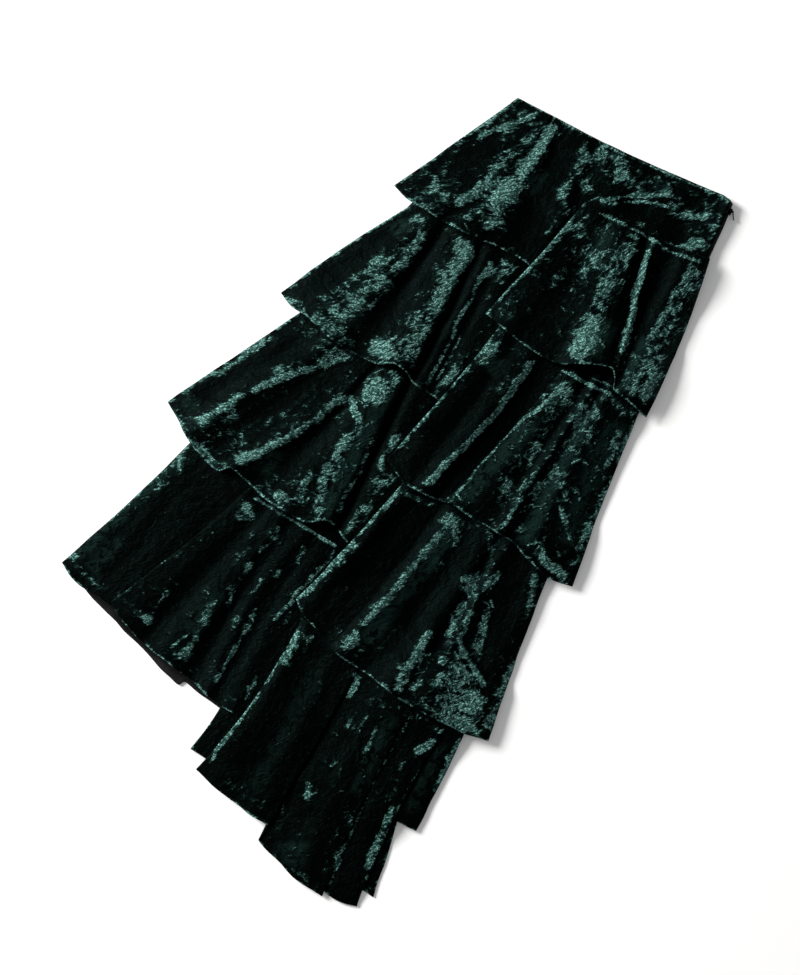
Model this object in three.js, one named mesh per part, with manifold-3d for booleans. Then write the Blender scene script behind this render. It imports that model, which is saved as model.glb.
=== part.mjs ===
// A tiered maxi skirt of crushed velvet laid flat on a floor, front side up, worked out in millimetres.
// Working frame: origin at the middle of the waist edge, X along the waist to the right, Y towards the waist, Z up
// from the floor. The finished group is moved so that its origin is under the middle of the garment.
import * as THREE from "three";
import Module from "manifold-3d";

const wasm = await Module();
wasm.setup();

// ---- driving sizes -------------------------------------------------------------------------------------------
const CLOTH = 1.2; // thickness of a velvet layer
const SEAM = 0.35; // space between pieces at seams and between layers
const LAYER = CLOTH + 0.5; // step from one layer of a flat pleat to the next
const ORIGIN_X = 103.93; // moves the middle of the outline onto the origin
const ORIGIN_Y = 499.2;
const WAIST_HALF = 152; // half of the waist as it lies flat
const YOKE_DEPTH = 95; // waist to the seam of the first tier
const ROWS = 6; // steps down the length of a tier
const STEPS = 2; // steps between two folds of a tier
const SLOPE = 0.22; // how steeply a layer comes down beside what it lies over
const REACH_X = 17; // half-size of what one point of a tier lies over
const REACH_Y = 40;
const CELL = 4; // grid the resting heights are kept on

const VELVET = { color: 0x0d1d18, roughness: 0.62, metalness: 0 };
const FOUNDATION = { color: 0x11201b, roughness: 0.85, metalness: 0 };
const TAPE = { color: 0x0b0f0e, roughness: 0.8, metalness: 0 };
const ENAMEL = { color: 0x060707, roughness: 0.35, metalness: 0.6 };

// ---- small helpers -------------------------------------------------------------------------------------------
const table = (columns, rows) =>
  rows.map((r) => Object.fromEntries(columns.map((c, i) => [c, r[i]])));

// Straight runs between the points of a short outline.
function along(line, t) {
  const p = line.find((q, i) => i && t <= q[0]) ?? line[line.length - 1];
  const i = Math.max(1, line.indexOf(p));
  const [a, b] = [line[i - 1], line[i]];
  const s = (t - a[0]) / (b[0] - a[0]);
  return a[1] + (b[1] - a[1]) * s;
}

// A run through the values of a fold table that never swings past them.
function through(values, u) {
  const n = values.length - 1;
  const i = Math.min(n - 1, Math.floor(u));
  const t = u - i;
  const d = (k) => values[k + 1] - values[k];
  const slope = (k) => {
    if (k === 0) return d(0);
    if (k === n) return d(n - 1);
    const [a, b] = [d(k - 1), d(k)];
    return a * b <= 0 ? 0 : (2 * a * b) / (a + b);
  };
  const [p0, p1, m0, m1] = [values[i], values[i + 1], slope(i), slope(i + 1)];
  const t2 = t * t,
    t3 = t2 * t;
  return (
    (2 * t3 - 3 * t2 + 1) * p0 +
    (t3 - 2 * t2 + t) * m0 +
    (3 * t2 - 2 * t3) * p1 +
    (t3 - t2) * m1
  );
}

// A curve through three values at 0, a half and 1.
const bow = (a, m, b, v) =>
  a * (1 - v) * (1 - 2 * v) + m * 4 * v * (1 - v) + b * v * (2 * v - 1);

// Height of the top of all that has been laid down so far, on a grid.
const [X0, Y0, NX, NY] = [-440, -1060, 176, 276];
const laid = new Float64Array(NX * NY);
const cellOf = (x, y) => [
  Math.floor((x - X0) / CELL),
  Math.floor((y - Y0) / CELL),
];
function mark(tri) {
  const [a, b, c] = tri;
  const far = Math.max(a.distanceTo(b), b.distanceTo(c), c.distanceTo(a));
  const n = Math.max(1, Math.ceil(far / (CELL / 2)));
  const p = new THREE.Vector3();
  for (let i = 0; i <= n; i++)
    for (let j = 0; j <= n - i; j++) {
      const [u, v] = [i / n, j / n];
      p.set(0, 0, 0)
        .addScaledVector(a, u)
        .addScaledVector(b, v)
        .addScaledVector(c, 1 - u - v);
      const [k, l] = cellOf(p.x, p.y);
      const at = l * NX + k;
      if (p.z > laid[at]) laid[at] = p.z;
    }
}
function supportAt(x, y, reachX, reachY) {
  const far = 48;
  const [k0, l0] = cellOf(x - reachX - far, y - reachY - far);
  const [k1, l1] = cellOf(x + reachX + far, y + reachY + far);
  let best = 0;
  for (let l = Math.max(0, l0); l <= Math.min(NY - 1, l1); l++)
    for (let k = Math.max(0, k0); k <= Math.min(NX - 1, k1); k++) {
      const h = laid[l * NX + k];
      if (h <= best) continue;
      const dx = Math.max(
        0,
        Math.abs(X0 + (k + 0.5) * CELL - x) - reachX - CELL,
      );
      const dy = Math.max(
        0,
        Math.abs(Y0 + (l + 0.5) * CELL - y) - reachY - CELL,
      );
      const z = h - SLOPE * Math.hypot(dx, dy);
      if (z > best) best = z;
    }
  return best;
}

const group = new THREE.Group();

// A closed wall between two grids of points, upper and lower, row after row.
function wall(name, upper, lower, look) {
  const rows = upper.length,
    cols = upper[0].length;
  const points = [...upper.flat(), ...lower.flat()];
  const up = (r, c) => r * cols + c;
  const lo = (r, c) => rows * cols + r * cols + c;
  const faces = [];
  const quad = (a, b, c, d) => faces.push([a, b, c], [a, c, d]);
  for (let r = 0; r < rows - 1; r++)
    for (let c = 0; c < cols - 1; c++) {
      quad(up(r + 1, c), up(r + 1, c + 1), up(r, c + 1), up(r, c));
      quad(lo(r, c), lo(r, c + 1), lo(r + 1, c + 1), lo(r + 1, c));
    }
  for (let c = 0; c < cols - 1; c++) {
    quad(up(0, c), up(0, c + 1), lo(0, c + 1), lo(0, c));
    quad(up(rows - 1, c + 1), up(rows - 1, c), lo(rows - 1, c), lo(rows - 1, c + 1));
  }
  for (let r = 0; r < rows - 1; r++) {
    quad(up(r + 1, 0), up(r, 0), lo(r, 0), lo(r + 1, 0));
    quad(up(r, cols - 1), up(r + 1, cols - 1), lo(r + 1, cols - 1), lo(r, cols - 1));
  }
  for (const f of faces) mark(f.map((i) => points[i]));
  const g = new THREE.BufferGeometry().setAttribute(
    "position",
    new THREE.Float32BufferAttribute(
      points.flatMap((p) => [p.x + ORIGIN_X, p.y + ORIGIN_Y, p.z]),
      3,
    ),
  );
  g.setIndex(faces.flat());
  add(name, g, look);
}
function add(name, geometry, look) {
  const mesh = new THREE.Mesh(geometry, new THREE.MeshStandardMaterial(look));
  mesh.name = name;
  group.add(mesh);
}

// One tier of the front: a wall lofted through its folds. Each fold runs from the seam through the middle of the
// tier to the hem and stands a little above what it lies on; a fold that turns back makes a flat pleat.
const FOLD = ["fold", "seamX", "midX", "hemX", "hemY", "seamZ", "midZ", "hemZ"];
function tier(name, { seam, folds, rows = ROWS, look = VELVET }) {
  const ribs = table(FOLD, folds);
  const across = [];
  for (let i = 0; i < ribs.length - 1; i++) {
    const tight = ribs[i].fold.endsWith("~") || ribs[i + 1].fold.endsWith("~");
    const n = tight ? 1 : STEPS;
    for (let k = 0; k < n; k++) across.push(i + k / n);
  }
  across.push(ribs.length - 1);
  const col = (key, u) => through(ribs.map((r) => r[key]), u);
  const middle = [];
  for (let r = 0; r <= rows; r++) {
    const v = r / rows;
    middle.push(
      across.map((u) => {
        const sx = col("seamX", u);
        const sy = along(seam, sx);
        const hy = col("hemY", u);
        const x = bow(sx, col("midX", u), col("hemX", u), v);
        const y = sy + (hy - sy) * v;
        const z = bow(col("seamZ", u), col("midZ", u), col("hemZ", u), v);
        return new THREE.Vector3(x, y, Math.max(0, z));
      }),
    );
  }
  const rest = middle.map((row) =>
    row.map((p) => supportAt(p.x, p.y, REACH_X, REACH_Y)),
  );
  middle.forEach((row, r) =>
    row.forEach((p, c) => {
      p.z += rest[r][c] + SEAM + CLOTH / 2;
    }),
  );
  const at = (r, c) =>
    middle[Math.min(rows, Math.max(0, r))][
      Math.min(across.length - 1, Math.max(0, c))
    ];
  const half = CLOTH / 2;
  const [upper, lower] = [[], []];
  for (let r = 0; r <= rows; r++) {
    upper.push([]);
    lower.push([]);
    for (let c = 0; c < across.length; c++) {
      const p = at(r, c);
      // The wall is built square to its section: the two sides of a bend are weighted equally.
      const before = p.clone().sub(at(r, c - 1));
      const after = at(r, c + 1).clone().sub(p);
      const [a, b] = [before.length() > 1e-6, after.length() > 1e-6];
      const ea = a ? before.clone().normalize() : after.clone().normalize();
      const eb = b ? after.clone().normalize() : before.clone().normalize();
      const down = at(r + 1, c).clone().sub(at(r - 1, c));
      const na = new THREE.Vector3().crossVectors(down, ea).normalize();
      const nb = new THREE.Vector3().crossVectors(down, eb).normalize();
      const n = na.clone().add(nb);
      if (n.length() < 1e-6) n.copy(na);
      n.normalize();
      const reach = half / Math.max(0.6, n.dot(na));
      upper[r].push(p.clone().addScaledVector(n, reach));
      lower[r].push(p.clone().addScaledVector(n, -reach));
    }
  }
  wall(name, upper, lower, look);
}

// A plain flat panel between a left and a right edge, its underside at a height that may step down once.
function panel(name, { left, right, top, hem, cols = 6, rows = 8, under, look = VELVET }) {
  const [upper, lower] = [[], []];
  for (let r = 0; r <= rows; r++) {
    upper.push([]);
    lower.push([]);
    for (let c = 0; c <= cols; c++) {
      const s = c / cols;
      // edges are tables of [y, x]; top and hem are tables of [share of the width, y]
      const [ty, hy] = [along(top, s), along(hem, s)];
      const v = under && under.rows ? under.rows[r] : r / rows;
      const y = ty + (hy - ty) * v;
      const [xl, xr] = [along(left, -y), along(right, -y)];
      const z = under ? under.height(v, r) : 0;
      const p = new THREE.Vector3(xl + (xr - xl) * s, y, z);
      lower[r].push(p);
      upper[r].push(p.clone().setZ(z + CLOTH));
    }
  }
  wall(name, upper, lower, look);
}

// ---- back, laid down first: each tier's top lies over the hem of the tier above it --------------------------
// Side edges of the whole garment as tables of [distance below the waist, X].
const BACK_LEFT = [
  [-20, -150], [0, -151.5], [97, -195], [170, -237], [186, -210], [260, -252],
  [356, -303], [378, -279], [452, -320], [542, -366], [575, -323], [582, -327],
  [640, -347], [675, -358], [700, -366], [784, -396], [830, -396], [900, -396],
];
const BACK_RIGHT = [
  [-20, 147.8], [0, 147.8], [14, 148.2], [40, 151], [72, 154], [110, 157],
  [150, 163.5], [200, 168.5], [283, 171], [290, 162], [370, 169], [440, 178.5],
  [514, 186.5], [520, 152], [600, 162], [670, 171.5], [738, 181.5], [744, 152.5],
  [881, 152.5], [1000, 152.5],
];
const FLAT = { height: () => 0 };
const LAP = 22; // how far a back tier reaches under the one above
const shingle = (depth) => {
  // laid over the hem above for the first part, then down to the floor
  const a = LAP / depth;
  return {
    rows: [0, a + 2 / depth, a + 20 / depth, 0.55, 1],
    height: (v, r) => (r < 2 ? CLOTH + SEAM : 0),
  };
};

panel("yoke_back", {
  left: BACK_LEFT,
  right: BACK_RIGHT,
  top: [[0, -3], [0.4, -4], [1, 5]],
  hem: [[0, -YOKE_DEPTH + 0.2], [1, -YOKE_DEPTH + 0.2]],
  rows: 4,
  under: FLAT,
});
panel("tier_1_back", {
  left: BACK_LEFT,
  right: BACK_RIGHT,
  top: [[0, -YOKE_DEPTH - 0.2], [1, -YOKE_DEPTH - 0.2]],
  hem: [[0, -169], [0.3, -206], [1, -282]],
  rows: 5,
  under: FLAT,
});
panel("tier_2_back", {
  left: BACK_LEFT,
  right: [[240, 158], [290, 161], [370, 168.5], [440, 178], [514, 186.5]],
  top: [[0, -169 + LAP + 38], [0.3, -206 + LAP], [1, -282 + LAP]].map(([s, y]) => [s, s ? y : -186]),
  hem: [[0, -355], [0.35, -420], [1, -513]],
  rows: 4,
  under: shingle(190),
});
panel("tier_3_back", {
  left: BACK_LEFT,
  right: [[480, 148], [520, 152], [600, 162], [670, 171.5], [738, 181.5]],
  top: [[0, -374], [0.35, -420 + LAP], [1, -513 + LAP]],
  hem: [[0, -541], [0.35, -628], [1, -736]],
  rows: 4,
  under: shingle(195),
});
panel("tier_4_back", {
  left: BACK_LEFT,
  right: [[700, 150], [744, 152], [881, 152.5]],
  top: [[0, -572], [0.35, -628 + LAP], [1, -736 + LAP]],
  hem: [
    [0, -784], [0.07, -797], [0.142, -809], [0.25, -833], [0.362, -853], [0.375, -845],
    [0.45, -853], [0.53, -859], [0.7, -868], [1, -879],
  ],
  cols: 16,
  rows: 4,
  under: shingle(220),
});
panel("tier_5_back", {
  left: [[820, -134], [880, -137], [918, -142]],
  right: [[840, 120], [882, 128], [905, 133], [940, 138], [981, 144]],
  top: [[0, -836], [1, -879 + LAP]],
  hem: [[0, -916], [0.5, -960], [1, -981]],
  rows: 4,
  under: shingle(90),
});

// ---- foundation: a plain flared under-skirt the tiers are sewn to ------------------------------------------
const FOUNDATION_LEFT = [[95, -186], [175, -200], [370, -262], [575, -312], [620, -322]];
const FOUNDATION_RIGHT = [[95, 146], [285, 152], [515, 144], [760, 140]];
const BASE_BACK_Z = 2 * (CLOTH + SEAM);
const BASE_FRONT_Z = BASE_BACK_Z + CLOTH + SEAM;
for (const [name, z] of [["base_back", BASE_BACK_Z], ["base_front", BASE_FRONT_Z]])
  panel(name, {
    left: FOUNDATION_LEFT,
    right: FOUNDATION_RIGHT,
    top: [[0, -YOKE_DEPTH - 4], [1, -YOKE_DEPTH - 4]],
    hem: [[0, -606], [0.5, -700], [1, -752]],
    cols: 6,
    rows: 8,
    under: { height: () => z },
    look: FOUNDATION,
  });

// ---- concealed zip in the right side seam ------------------------------------------------------------------
const ZIP_EDGE = [[-2, 148], [14, 148.2], [60, 151], [110, 155], [190, 165]];
const TAPE_WIDTH = 12;
{
  const [upper, lower] = [[], []];
  for (const y of [2, -14, -40, -70, -95, -120, -150, -188]) {
    const x = along(ZIP_EDGE, -y) - 0.2;
    const xs = [x - TAPE_WIDTH, x - TAPE_WIDTH / 2, x - 1.8, x];
    lower.push(xs.map((q) => new THREE.Vector3(q, y, CLOTH + SEAM)));
    upper.push(
      xs.map((q) => new THREE.Vector3(q, y, CLOTH + SEAM + CLOTH - 0.1)),
    );
  }
  wall("zip_tape", upper, lower, TAPE);
}

// ---- front tiers, each laid over what is there already -----------------------------------------------------
const P1 = LAYER,
  P2 = 2 * LAYER;
tier("tier_5_left", {
  seam: [[-140, -838], [-20, -846]],
  folds: [
    ["edge", -134, -137, -143, -918, 0, 0, 0],
    ["flat", -100, -102, -108, -923, 0, 0.5, 0.5],
    ["end", -24, -24, -26, -926, 0, 0, 0],
  ],
  rows: 4,
});
tier("tier_4_side", {
  seam: [[0, -722], [154, -724]],
  folds: [
    ["end", 14, 14, 14, -876, 0, 0, 0],
    ["swell", 70, 72, 74, -880, 1, 1.5, 1],
    ["hollow", 112, 114, 116, -881, 0, 0, 0],
    ["swell_side", 134, 136, 137, -881, 1, 1.5, 1],
    ["side", 152, 155, 155, -881, 0, 0, 0],
  ],
  rows: 5,
});
tier("tier_4_left", {
  seam: [[-340, -566], [-250, -581], [-150, -587], [-90, -592], [0, -594]],
  folds: [
    ["side", -318, -355, -396, -785, 0, 0, 0],
    ["plain", -292, -328, -372, -798, 0.6, 1.2, 1],
    ["tuck~", -208, -252, -306, -806, 0, 0, 0],
    ["tuck_over~", -208, -252, -306, -806, P1, P1, P1],
    ["pleat_1~", -224, -267, -318, -801, P1, P1, P1],
    ["pleat_1_over~", -224, -267, -318, -801, P2, P2, P2],
    ["swell_1", -206, -246, -292, -817, P2 + 2, P2 + 4, P2 + 3],
    ["hollow_1", -192, -226, -262, -827, P1, P1, 2],
    ["ridge_2", -184, -205, -234, -834, P2, P2 + 4, P2 + 6],
    ["ridge_3", -172, -194, -212, -837, P2 + 2, P2 + 5, P2 + 3],
    ["hollow_3", -158, -176, -184, -842, 1, 1, 1],
    ["ridge_4", -134, -160, -158, -848, P2 + 1, P2 + 5, P2 + 5],
    ["hollow_4", -122, -140, -143, -850, 1, 1, 1],
    ["ridge_5", -104, -124, -118, -852, P1, P1 + 4, P1 + 3],
    ["hollow_5", -84, -100, -100, -854, 0.5, 0.5, 0.5],
    ["end", -20, -28, -34, -858, 0, 0, 0],
  ],
});
tier("tier_4_right", {
  seam: [[-96, -708], [-60, -714], [132, -728]],
  folds: [
    ["free_edge", -95, -100, -122, -937, 0, 0.5, 0.5],
    ["ridge_a", -82, -86, -98, -946, 3, 4, 3],
    ["hollow_a", -56, -58, -66, -953, 1, 1.5, 1.5],
    ["ridge_b", -30, -34, -40, -958, P2 + 1, P2 + 2, P2 + 1],
    ["pleat_1_over~", -4, -7, -14, -960, P2, P2, P2],
    ["pleat_1~", -4, -7, -14, -960, P1, P1, P1],
    ["tuck_1_over~", -18, -21, -15, -981, P1, P1, P1],
    ["tuck_1~", -18, -21, -15, -983, 0, 0, 0],
    ["start_b", 2, 0, -3, -988, 0, 0, 0],
    ["hollow_b", 22, 20, 22, -996, 1, 1, 1],
    ["ridge_c", 45, 46, 50, -1004, P2 + 1, P2 + 2, P2 + 1],
    ["pleat_2_over~", 81, 79, 87, -1007, P2, P2, P2],
    ["pleat_2~", 81, 79, 87, -1006, P1, P1, P1],
    ["tuck_2_over~", 68, 66, 74, -1000, P1, P1, P1],
    ["tuck_2~", 68, 66, 74, -1000, 0, 0, 0],
    ["flat_c", 100, 98, 108, -1003, 1, 1, 1],
    ["side", 130, 122, 131, -999, 0, 0, 0],
  ],
});
tier("tier_3_left", {
  seam: [[-266, -352], [-100, -366], [0, -372]],
  folds: [
    ["side", -261, -317, -369, -544, 0, 0, 0],
    ["hollow_1", -236, -294, -350, -557, 0.3, 0.6, 0.6],
    ["ridge_1", -202, -270, -330, -571, 4, 8, 8],
    ["hollow_2", -187, -240, -302, -585, 0, 0.5, 1],
    ["flank_2", -176, -222, -275, -592, 1, 3, 4],
    ["ridge_2", -162, -196, -259, -581, 3, 7, 9],
    ["hollow_3", -156, -178, -226, -590, 0, 0.5, 0.5],
    ["ridge_3", -146, -156, -186, -598, 4, 7, 5],
    ["ridge_4", -132, -136, -150, -599, 5, 9, 8],
    ["ridge_5", -120, -118, -122, -585, 4, 8, 11],
    ["hollow_5", -110, -109, -107, -588, 0, 0, 0.5],
    ["ridge_6", -94, -92, -88, -596, 3, 5, 5],
    ["end", -20, -28, -36, -602, 0, 0, 0],
  ],
});
tier("tier_3_right", {
  seam: [[-60, -486], [155, -494]],
  folds: [
    ["free_edge", -57, -82, -112, -690, 0.5, 1, 1],
    ["lip", -47, -70, -97, -702, 3, 5, 4],
    ["hollow_1", -28, -46, -66, -715, 0, 0, 0.5],
    ["foot_2", -4, -22, -48, -722, 0.5, 0.5, 1],
    ["ridge_2", 12, -3, -34, -727, 6, 9, 8],
    ["hollow_2", 38, 33, 8, -732, 1, 1, 1],
    ["ridge_3", 65, 60, 40, -738, 5, 7, 7],
    ["hollow_3", 80, 76, 66, -742, 2, 2, 2],
    ["ridge_4", 96, 90, 100, -744, 5, 7, 6],
    ["hollow_4", 116, 124, 136, -744, 0.5, 1, 2],
    ["ridge_5", 134, 150, 162, -742, 2, 3, 2],
    ["side", 154, 167, 184, -738, 0, 0, 0],
  ],
});
tier("tier_2_left", {
  seam: [[-206, -166], [0, -170]],
  folds: [
    ["side", -200, -258, -306, -356, 0, 0, 0],
    ["flank_1", -190, -240, -288, -364, 1, 2, 2],
    ["ridge_1", -178, -214, -252, -371, 4, 8, 7],
    ["ridge_2", -170, -194, -222, -379, 4, 7, 6],
    ["hollow_2", -160, -172, -194, -382, 0, 0, 0.5],
    ["flank_3", -145, -156, -160, -381, 5, 6, 5],
    ["ridge_3", -131, -138, -137, -371, 7, 10, 12],
    ["brow_3", -119, -119, -120, -374, 6, 9, 9],
    ["hollow_3", -111, -108, -108, -381, 0, 0, 0],
    ["ridge_4", -98, -97, -97, -384, 3, 4, 4],
    ["hollow_4", -80, -80, -80, -384, 0, 0.5, 0.5],
    ["ridge_5", -62, -62, -62, -386, 2, 4, 4],
    ["end", 6, 4, 0, -388, 0, 0, 0],
  ],
});
tier("tier_2_right", {
  seam: [[-42, -250], [160, -250]],
  folds: [
    ["free_edge", -39, -62, -92, -482, 0, 0.5, 0.5],
    ["lip", -28, -48, -73, -492, 2, 3, 3],
    ["hollow_1", -12, -30, -52, -499, 0, 0, 0.5],
    ["ridge_1", 14, -6, -33, -500, 4, 7, 7],
    ["hollow_2", 30, 14, -12, -498, 0, 0, 0.5],
    ["tuck~", 72, 48, 14, -494, 0, 0, 0],
    ["tuck_over~", 72, 48, 14, -494, P1, P1, P1],
    ["pleat~", 59, 33, -2, -491, P1, P1, P1],
    ["pleat_over~", 59, 33, -2, -491, P2, P2, P2],
    ["swell", 76, 54, 28, -497, P2 + 3, P2 + 4, P2 + 4],
    ["hollow_3", 90, 76, 58, -499, P1, P1, P1],
    ["ridge_4", 100, 89, 75, -500, P2 + 2, P2 + 4, P2 + 4],
    ["hollow_4", 109, 101, 96, -502, 1, 1, 1],
    ["ridge_5", 121, 118, 122, -512, P2, P2 + 2, P2],
    ["flank_5", 142, 148, 160, -519, 2, 2, 2],
    ["side", 160, 173, 188, -517, 0, 0, 0],
  ],
});
tier("yoke_front", {
  seam: [[-154, 0], [-60, -1], [0, 0], [80, 5], [133, 9], [149, 5]],
  folds: [
    ["side", -154, -197, -240, -171, 0, 0, 0],
    ["hollow_1", -134, -170, -219, -179, 0.3, 0.5, 0.5],
    ["ridge_1", -108, -134, -192, -181, 2, 5, 5],
    ["hollow_2", -103, -116, -168, -183, 1, 2.5, 1.5],
    ["ridge_2", -96, -101, -146, -184, 2, 6, 6],
    ["hollow_3", -84, -76, -63, -180, 0.3, 0.5, 0.5],
    ["ridge_3", -54, -40, -36, -183, 2, 5, 4],
    ["hollow_4", -34, -24, -8, -180, 0.3, 0.5, 0],
    ["ridge_4", -10, 6, 16, -170, 2, 4, 0],
    ["hollow_5", 30, 44, 48, -150, 0.3, 1, 0],
    ["ridge_5", 64, 78, 84, -130, 2, 3, 0],
    ["hollow_6", 100, 104, 108, -118, 0.5, 0.5, 0],
    ["ridge_6", 128, 130, 130, -112, 1, 2, 0],
    ["side_right", 147.2, 151.4, 154, -108, 0, 0, 0],
  ],
});
tier("tier_1_right", {
  seam: [[-20, -80], [60, -78], [100, -82], [135, -75], [154, -71]],
  folds: [
    ["free_edge", -18, -40, -65, -262, 0, 0.5, 0.5],
    ["lap", 2, -14, -38, -268, 0.6, 2, 3],
    ["hollow_1", 16, 10, -2, -275, 0, 0.6, 0.5],
    ["flank_1", 29, 31, 38, -277, 4, 6, 4],
    ["ridge_1", 46, 54, 62, -267, 6, 12, 14],
    ["brow_1", 59, 73, 84, -257, 5, 11, 14],
    ["hollow_2", 70, 91, 105, -251, 0, 1.5, 8],
    ["ridge_2", 80, 98, 115, -260, 5, 7, 8],
    ["hollow_3", 108, 110, 121, -273, 0, 0, 1],
    ["ridge_3", 124, 132, 136, -276, 4, 6, 5],
    ["ridge_4", 140, 151, 156, -281, 4, 5, 4],
    ["side", 153.6, 169, 173, -284, 0, 0, 0],
  ],
});

// ---- slider and pull of the zip, at the top of the side seam -------------------------------------------------
const SLIDER = { x0: 149.3, x1: 151.9, y0: -9, y1: -1, z0: 1.5, z1: 6.9 };
const PIN = { x: 153.4, y: -3.6, r: 0.55 };
const EAR = { reach: 0.95, thick: 0.9 };
const TAB = { length: 10.5, thick: 1.0, eye: 1.15, rest: 31, inset: 0.25 };
{
  const { Manifold } = wasm;
  const box = (x0, x1, y0, y1, z0, z1) =>
    Manifold.cube([x1 - x0, y1 - y0, z1 - z0]).translate([x0, y0, z0]);
  const s = SLIDER;
  const round = (r, z0, z1) =>
    Manifold.cylinder(z1 - z0, r, r, 28).translate([PIN.x, PIN.y, z0]);
  const ear = (z0) =>
    Manifold.union(
      box(s.x1 - 0.5, PIN.x, PIN.y - EAR.reach, PIN.y + EAR.reach, z0, z0 + EAR.thick),
      round(EAR.reach, z0, z0 + EAR.thick),
    );
  const slider = Manifold.union([
    box(s.x0, s.x1, s.y0, s.y1, s.z0, s.z1),
    ear(s.z0),
    ear(s.z1 - EAR.thick),
    round(PIN.r, s.z0, s.z1),
  ]);
  const z0 = s.z0 + EAR.thick + TAB.inset,
    z1 = s.z1 - EAR.thick - TAB.inset;
  const plate = box(PIN.x - TAB.thick / 2, PIN.x + TAB.thick / 2, PIN.y - TAB.length, PIN.y, z0, z1);
  const tab = Manifold.union(round(TAB.eye, z0, z1), plate)
    .subtract(round(PIN.r + 0.2, z0 - 1, z1 + 1))
    .translate([-PIN.x, -PIN.y, 0])
    .rotate([0, 0, TAB.rest])
    .translate([PIN.x, PIN.y, 0]);
  for (const [name, solid] of [["zip_slider", slider], ["zip_pull", tab]]) {
    const m = solid.translate([ORIGIN_X, ORIGIN_Y, 0]).getMesh();
    const g = new THREE.BufferGeometry().setAttribute(
      "position",
      new THREE.BufferAttribute(new Float32Array(m.vertProperties), 3),
    );
    g.setIndex(Array.from(m.triVerts));
    add(name, g, ENAMEL);
  }
}

export default group;
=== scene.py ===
import json
import math

import bmesh
import bpy
import numpy as np
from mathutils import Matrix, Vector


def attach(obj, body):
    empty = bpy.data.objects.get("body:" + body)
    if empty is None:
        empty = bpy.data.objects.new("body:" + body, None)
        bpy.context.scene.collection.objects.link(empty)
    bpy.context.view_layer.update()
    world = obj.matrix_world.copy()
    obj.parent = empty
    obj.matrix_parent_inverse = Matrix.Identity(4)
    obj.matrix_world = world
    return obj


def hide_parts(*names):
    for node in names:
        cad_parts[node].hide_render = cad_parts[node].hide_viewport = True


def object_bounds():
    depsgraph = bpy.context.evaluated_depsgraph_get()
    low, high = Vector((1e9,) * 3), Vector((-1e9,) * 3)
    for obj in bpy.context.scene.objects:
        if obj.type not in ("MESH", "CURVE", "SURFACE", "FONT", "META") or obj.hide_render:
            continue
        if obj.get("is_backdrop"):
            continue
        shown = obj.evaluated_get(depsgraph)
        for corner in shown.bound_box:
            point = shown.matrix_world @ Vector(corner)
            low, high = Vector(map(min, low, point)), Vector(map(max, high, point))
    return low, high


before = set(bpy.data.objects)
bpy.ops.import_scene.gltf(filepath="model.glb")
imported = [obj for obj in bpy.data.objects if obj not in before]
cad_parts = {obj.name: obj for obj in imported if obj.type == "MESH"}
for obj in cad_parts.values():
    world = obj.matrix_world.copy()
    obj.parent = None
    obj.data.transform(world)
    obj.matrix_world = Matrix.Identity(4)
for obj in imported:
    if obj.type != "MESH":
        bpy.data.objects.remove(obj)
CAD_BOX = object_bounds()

# ---- sizes, in millimetres unless a name says otherwise ---------------------------------------------------------
# Working frame: origin at the middle of the waist edge, X along the waist, Y towards the waist, Z up.
ORIGIN_X, ORIGIN_Y = 103.93, 499.2
CLOTH = 1.1  # thickness of a layer
SEAM = 0.35  # space between layers
LAYER = CLOTH + 0.55
P1, P2 = LAYER, 2 * LAYER
STEP, STEP_DOWN = 2.1, 2.5  # mesh steps of the front tiers, across and down
BACK_STEP = 1.6  # the back's steps are this many times longer
MM = 0.001

# ---- camera: straight above, turned so that the waist runs up to the right --------------------------------------
TURN = math.radians(27.3)
VIEW_X, VIEW_Y = -60.8, -505.7  # middle of the picture in the working frame
VIEW_LONG = 1.2285  # long side of the picture on the floor, metres
LENS, SENSOR = 85.0, 36.0

scene = bpy.context.scene
cam = bpy.data.cameras.new("camera")
cam.lens = LENS
cam.sensor_width = SENSOR
cam.clip_end = 20
camera = bpy.data.objects.new("camera", cam)
scene.collection.objects.link(camera)
camera.location = (
    (VIEW_X + ORIGIN_X) * MM,
    (VIEW_Y + ORIGIN_Y) * MM,
    VIEW_LONG * LENS / SENSOR + 0.012,
)
camera.rotation_euler = (0, 0, TURN)
scene.camera = camera
scene.view_settings.view_transform = "Standard"
scene.view_settings.look = "None"

# ---- plain floor and soft studio light ---------------------------------------------------------------------------
def toward(obj, x, y, z):
    """Turns obj so that its -Z points at a place."""
    from mathutils import Vector

    d = Vector((x, y, z)) - obj.location
    obj.rotation_euler = d.to_track_quat("-Z", "Y").to_euler()


def image_dir(right, up):
    """A direction given along the picture's right and up, in the frame's X and Y."""
    c, s = math.cos(TURN), math.sin(TURN)
    return right * c - up * s, right * s + up * c


def area_light(name, right, up, height, size, power, color=(1, 1, 1)):
    data = bpy.data.lights.new(name, "AREA")
    data.shape = "DISK"
    data.size = size
    data.energy = power
    data.color = color
    o = bpy.data.objects.new(name, data)
    x, y = image_dir(right, up)
    o.location = (x, y, height)
    scene.collection.objects.link(o)
    toward(o, 0, 0, 0)
    return o


key = area_light("key", -3.7, 2.4, 2.16, 2.1, 600, (1.0, 0.99, 0.975))
fill = area_light("fill", 1.5, -0.6, 2.4, 2.2, 8, (0.97, 0.99, 1.0))
fill.visible_glossy = False
world = bpy.data.worlds.new("world")
world.use_nodes = True
world.node_tree.nodes["Background"].inputs["Color"].default_value = (1, 1, 1, 1)
world.node_tree.nodes["Background"].inputs["Strength"].default_value = 0.36
scene.world = world
world.cycles_visibility.glossy = False


STROKES = 58.0  # the pile's strokes, degrees round from the weft


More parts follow.
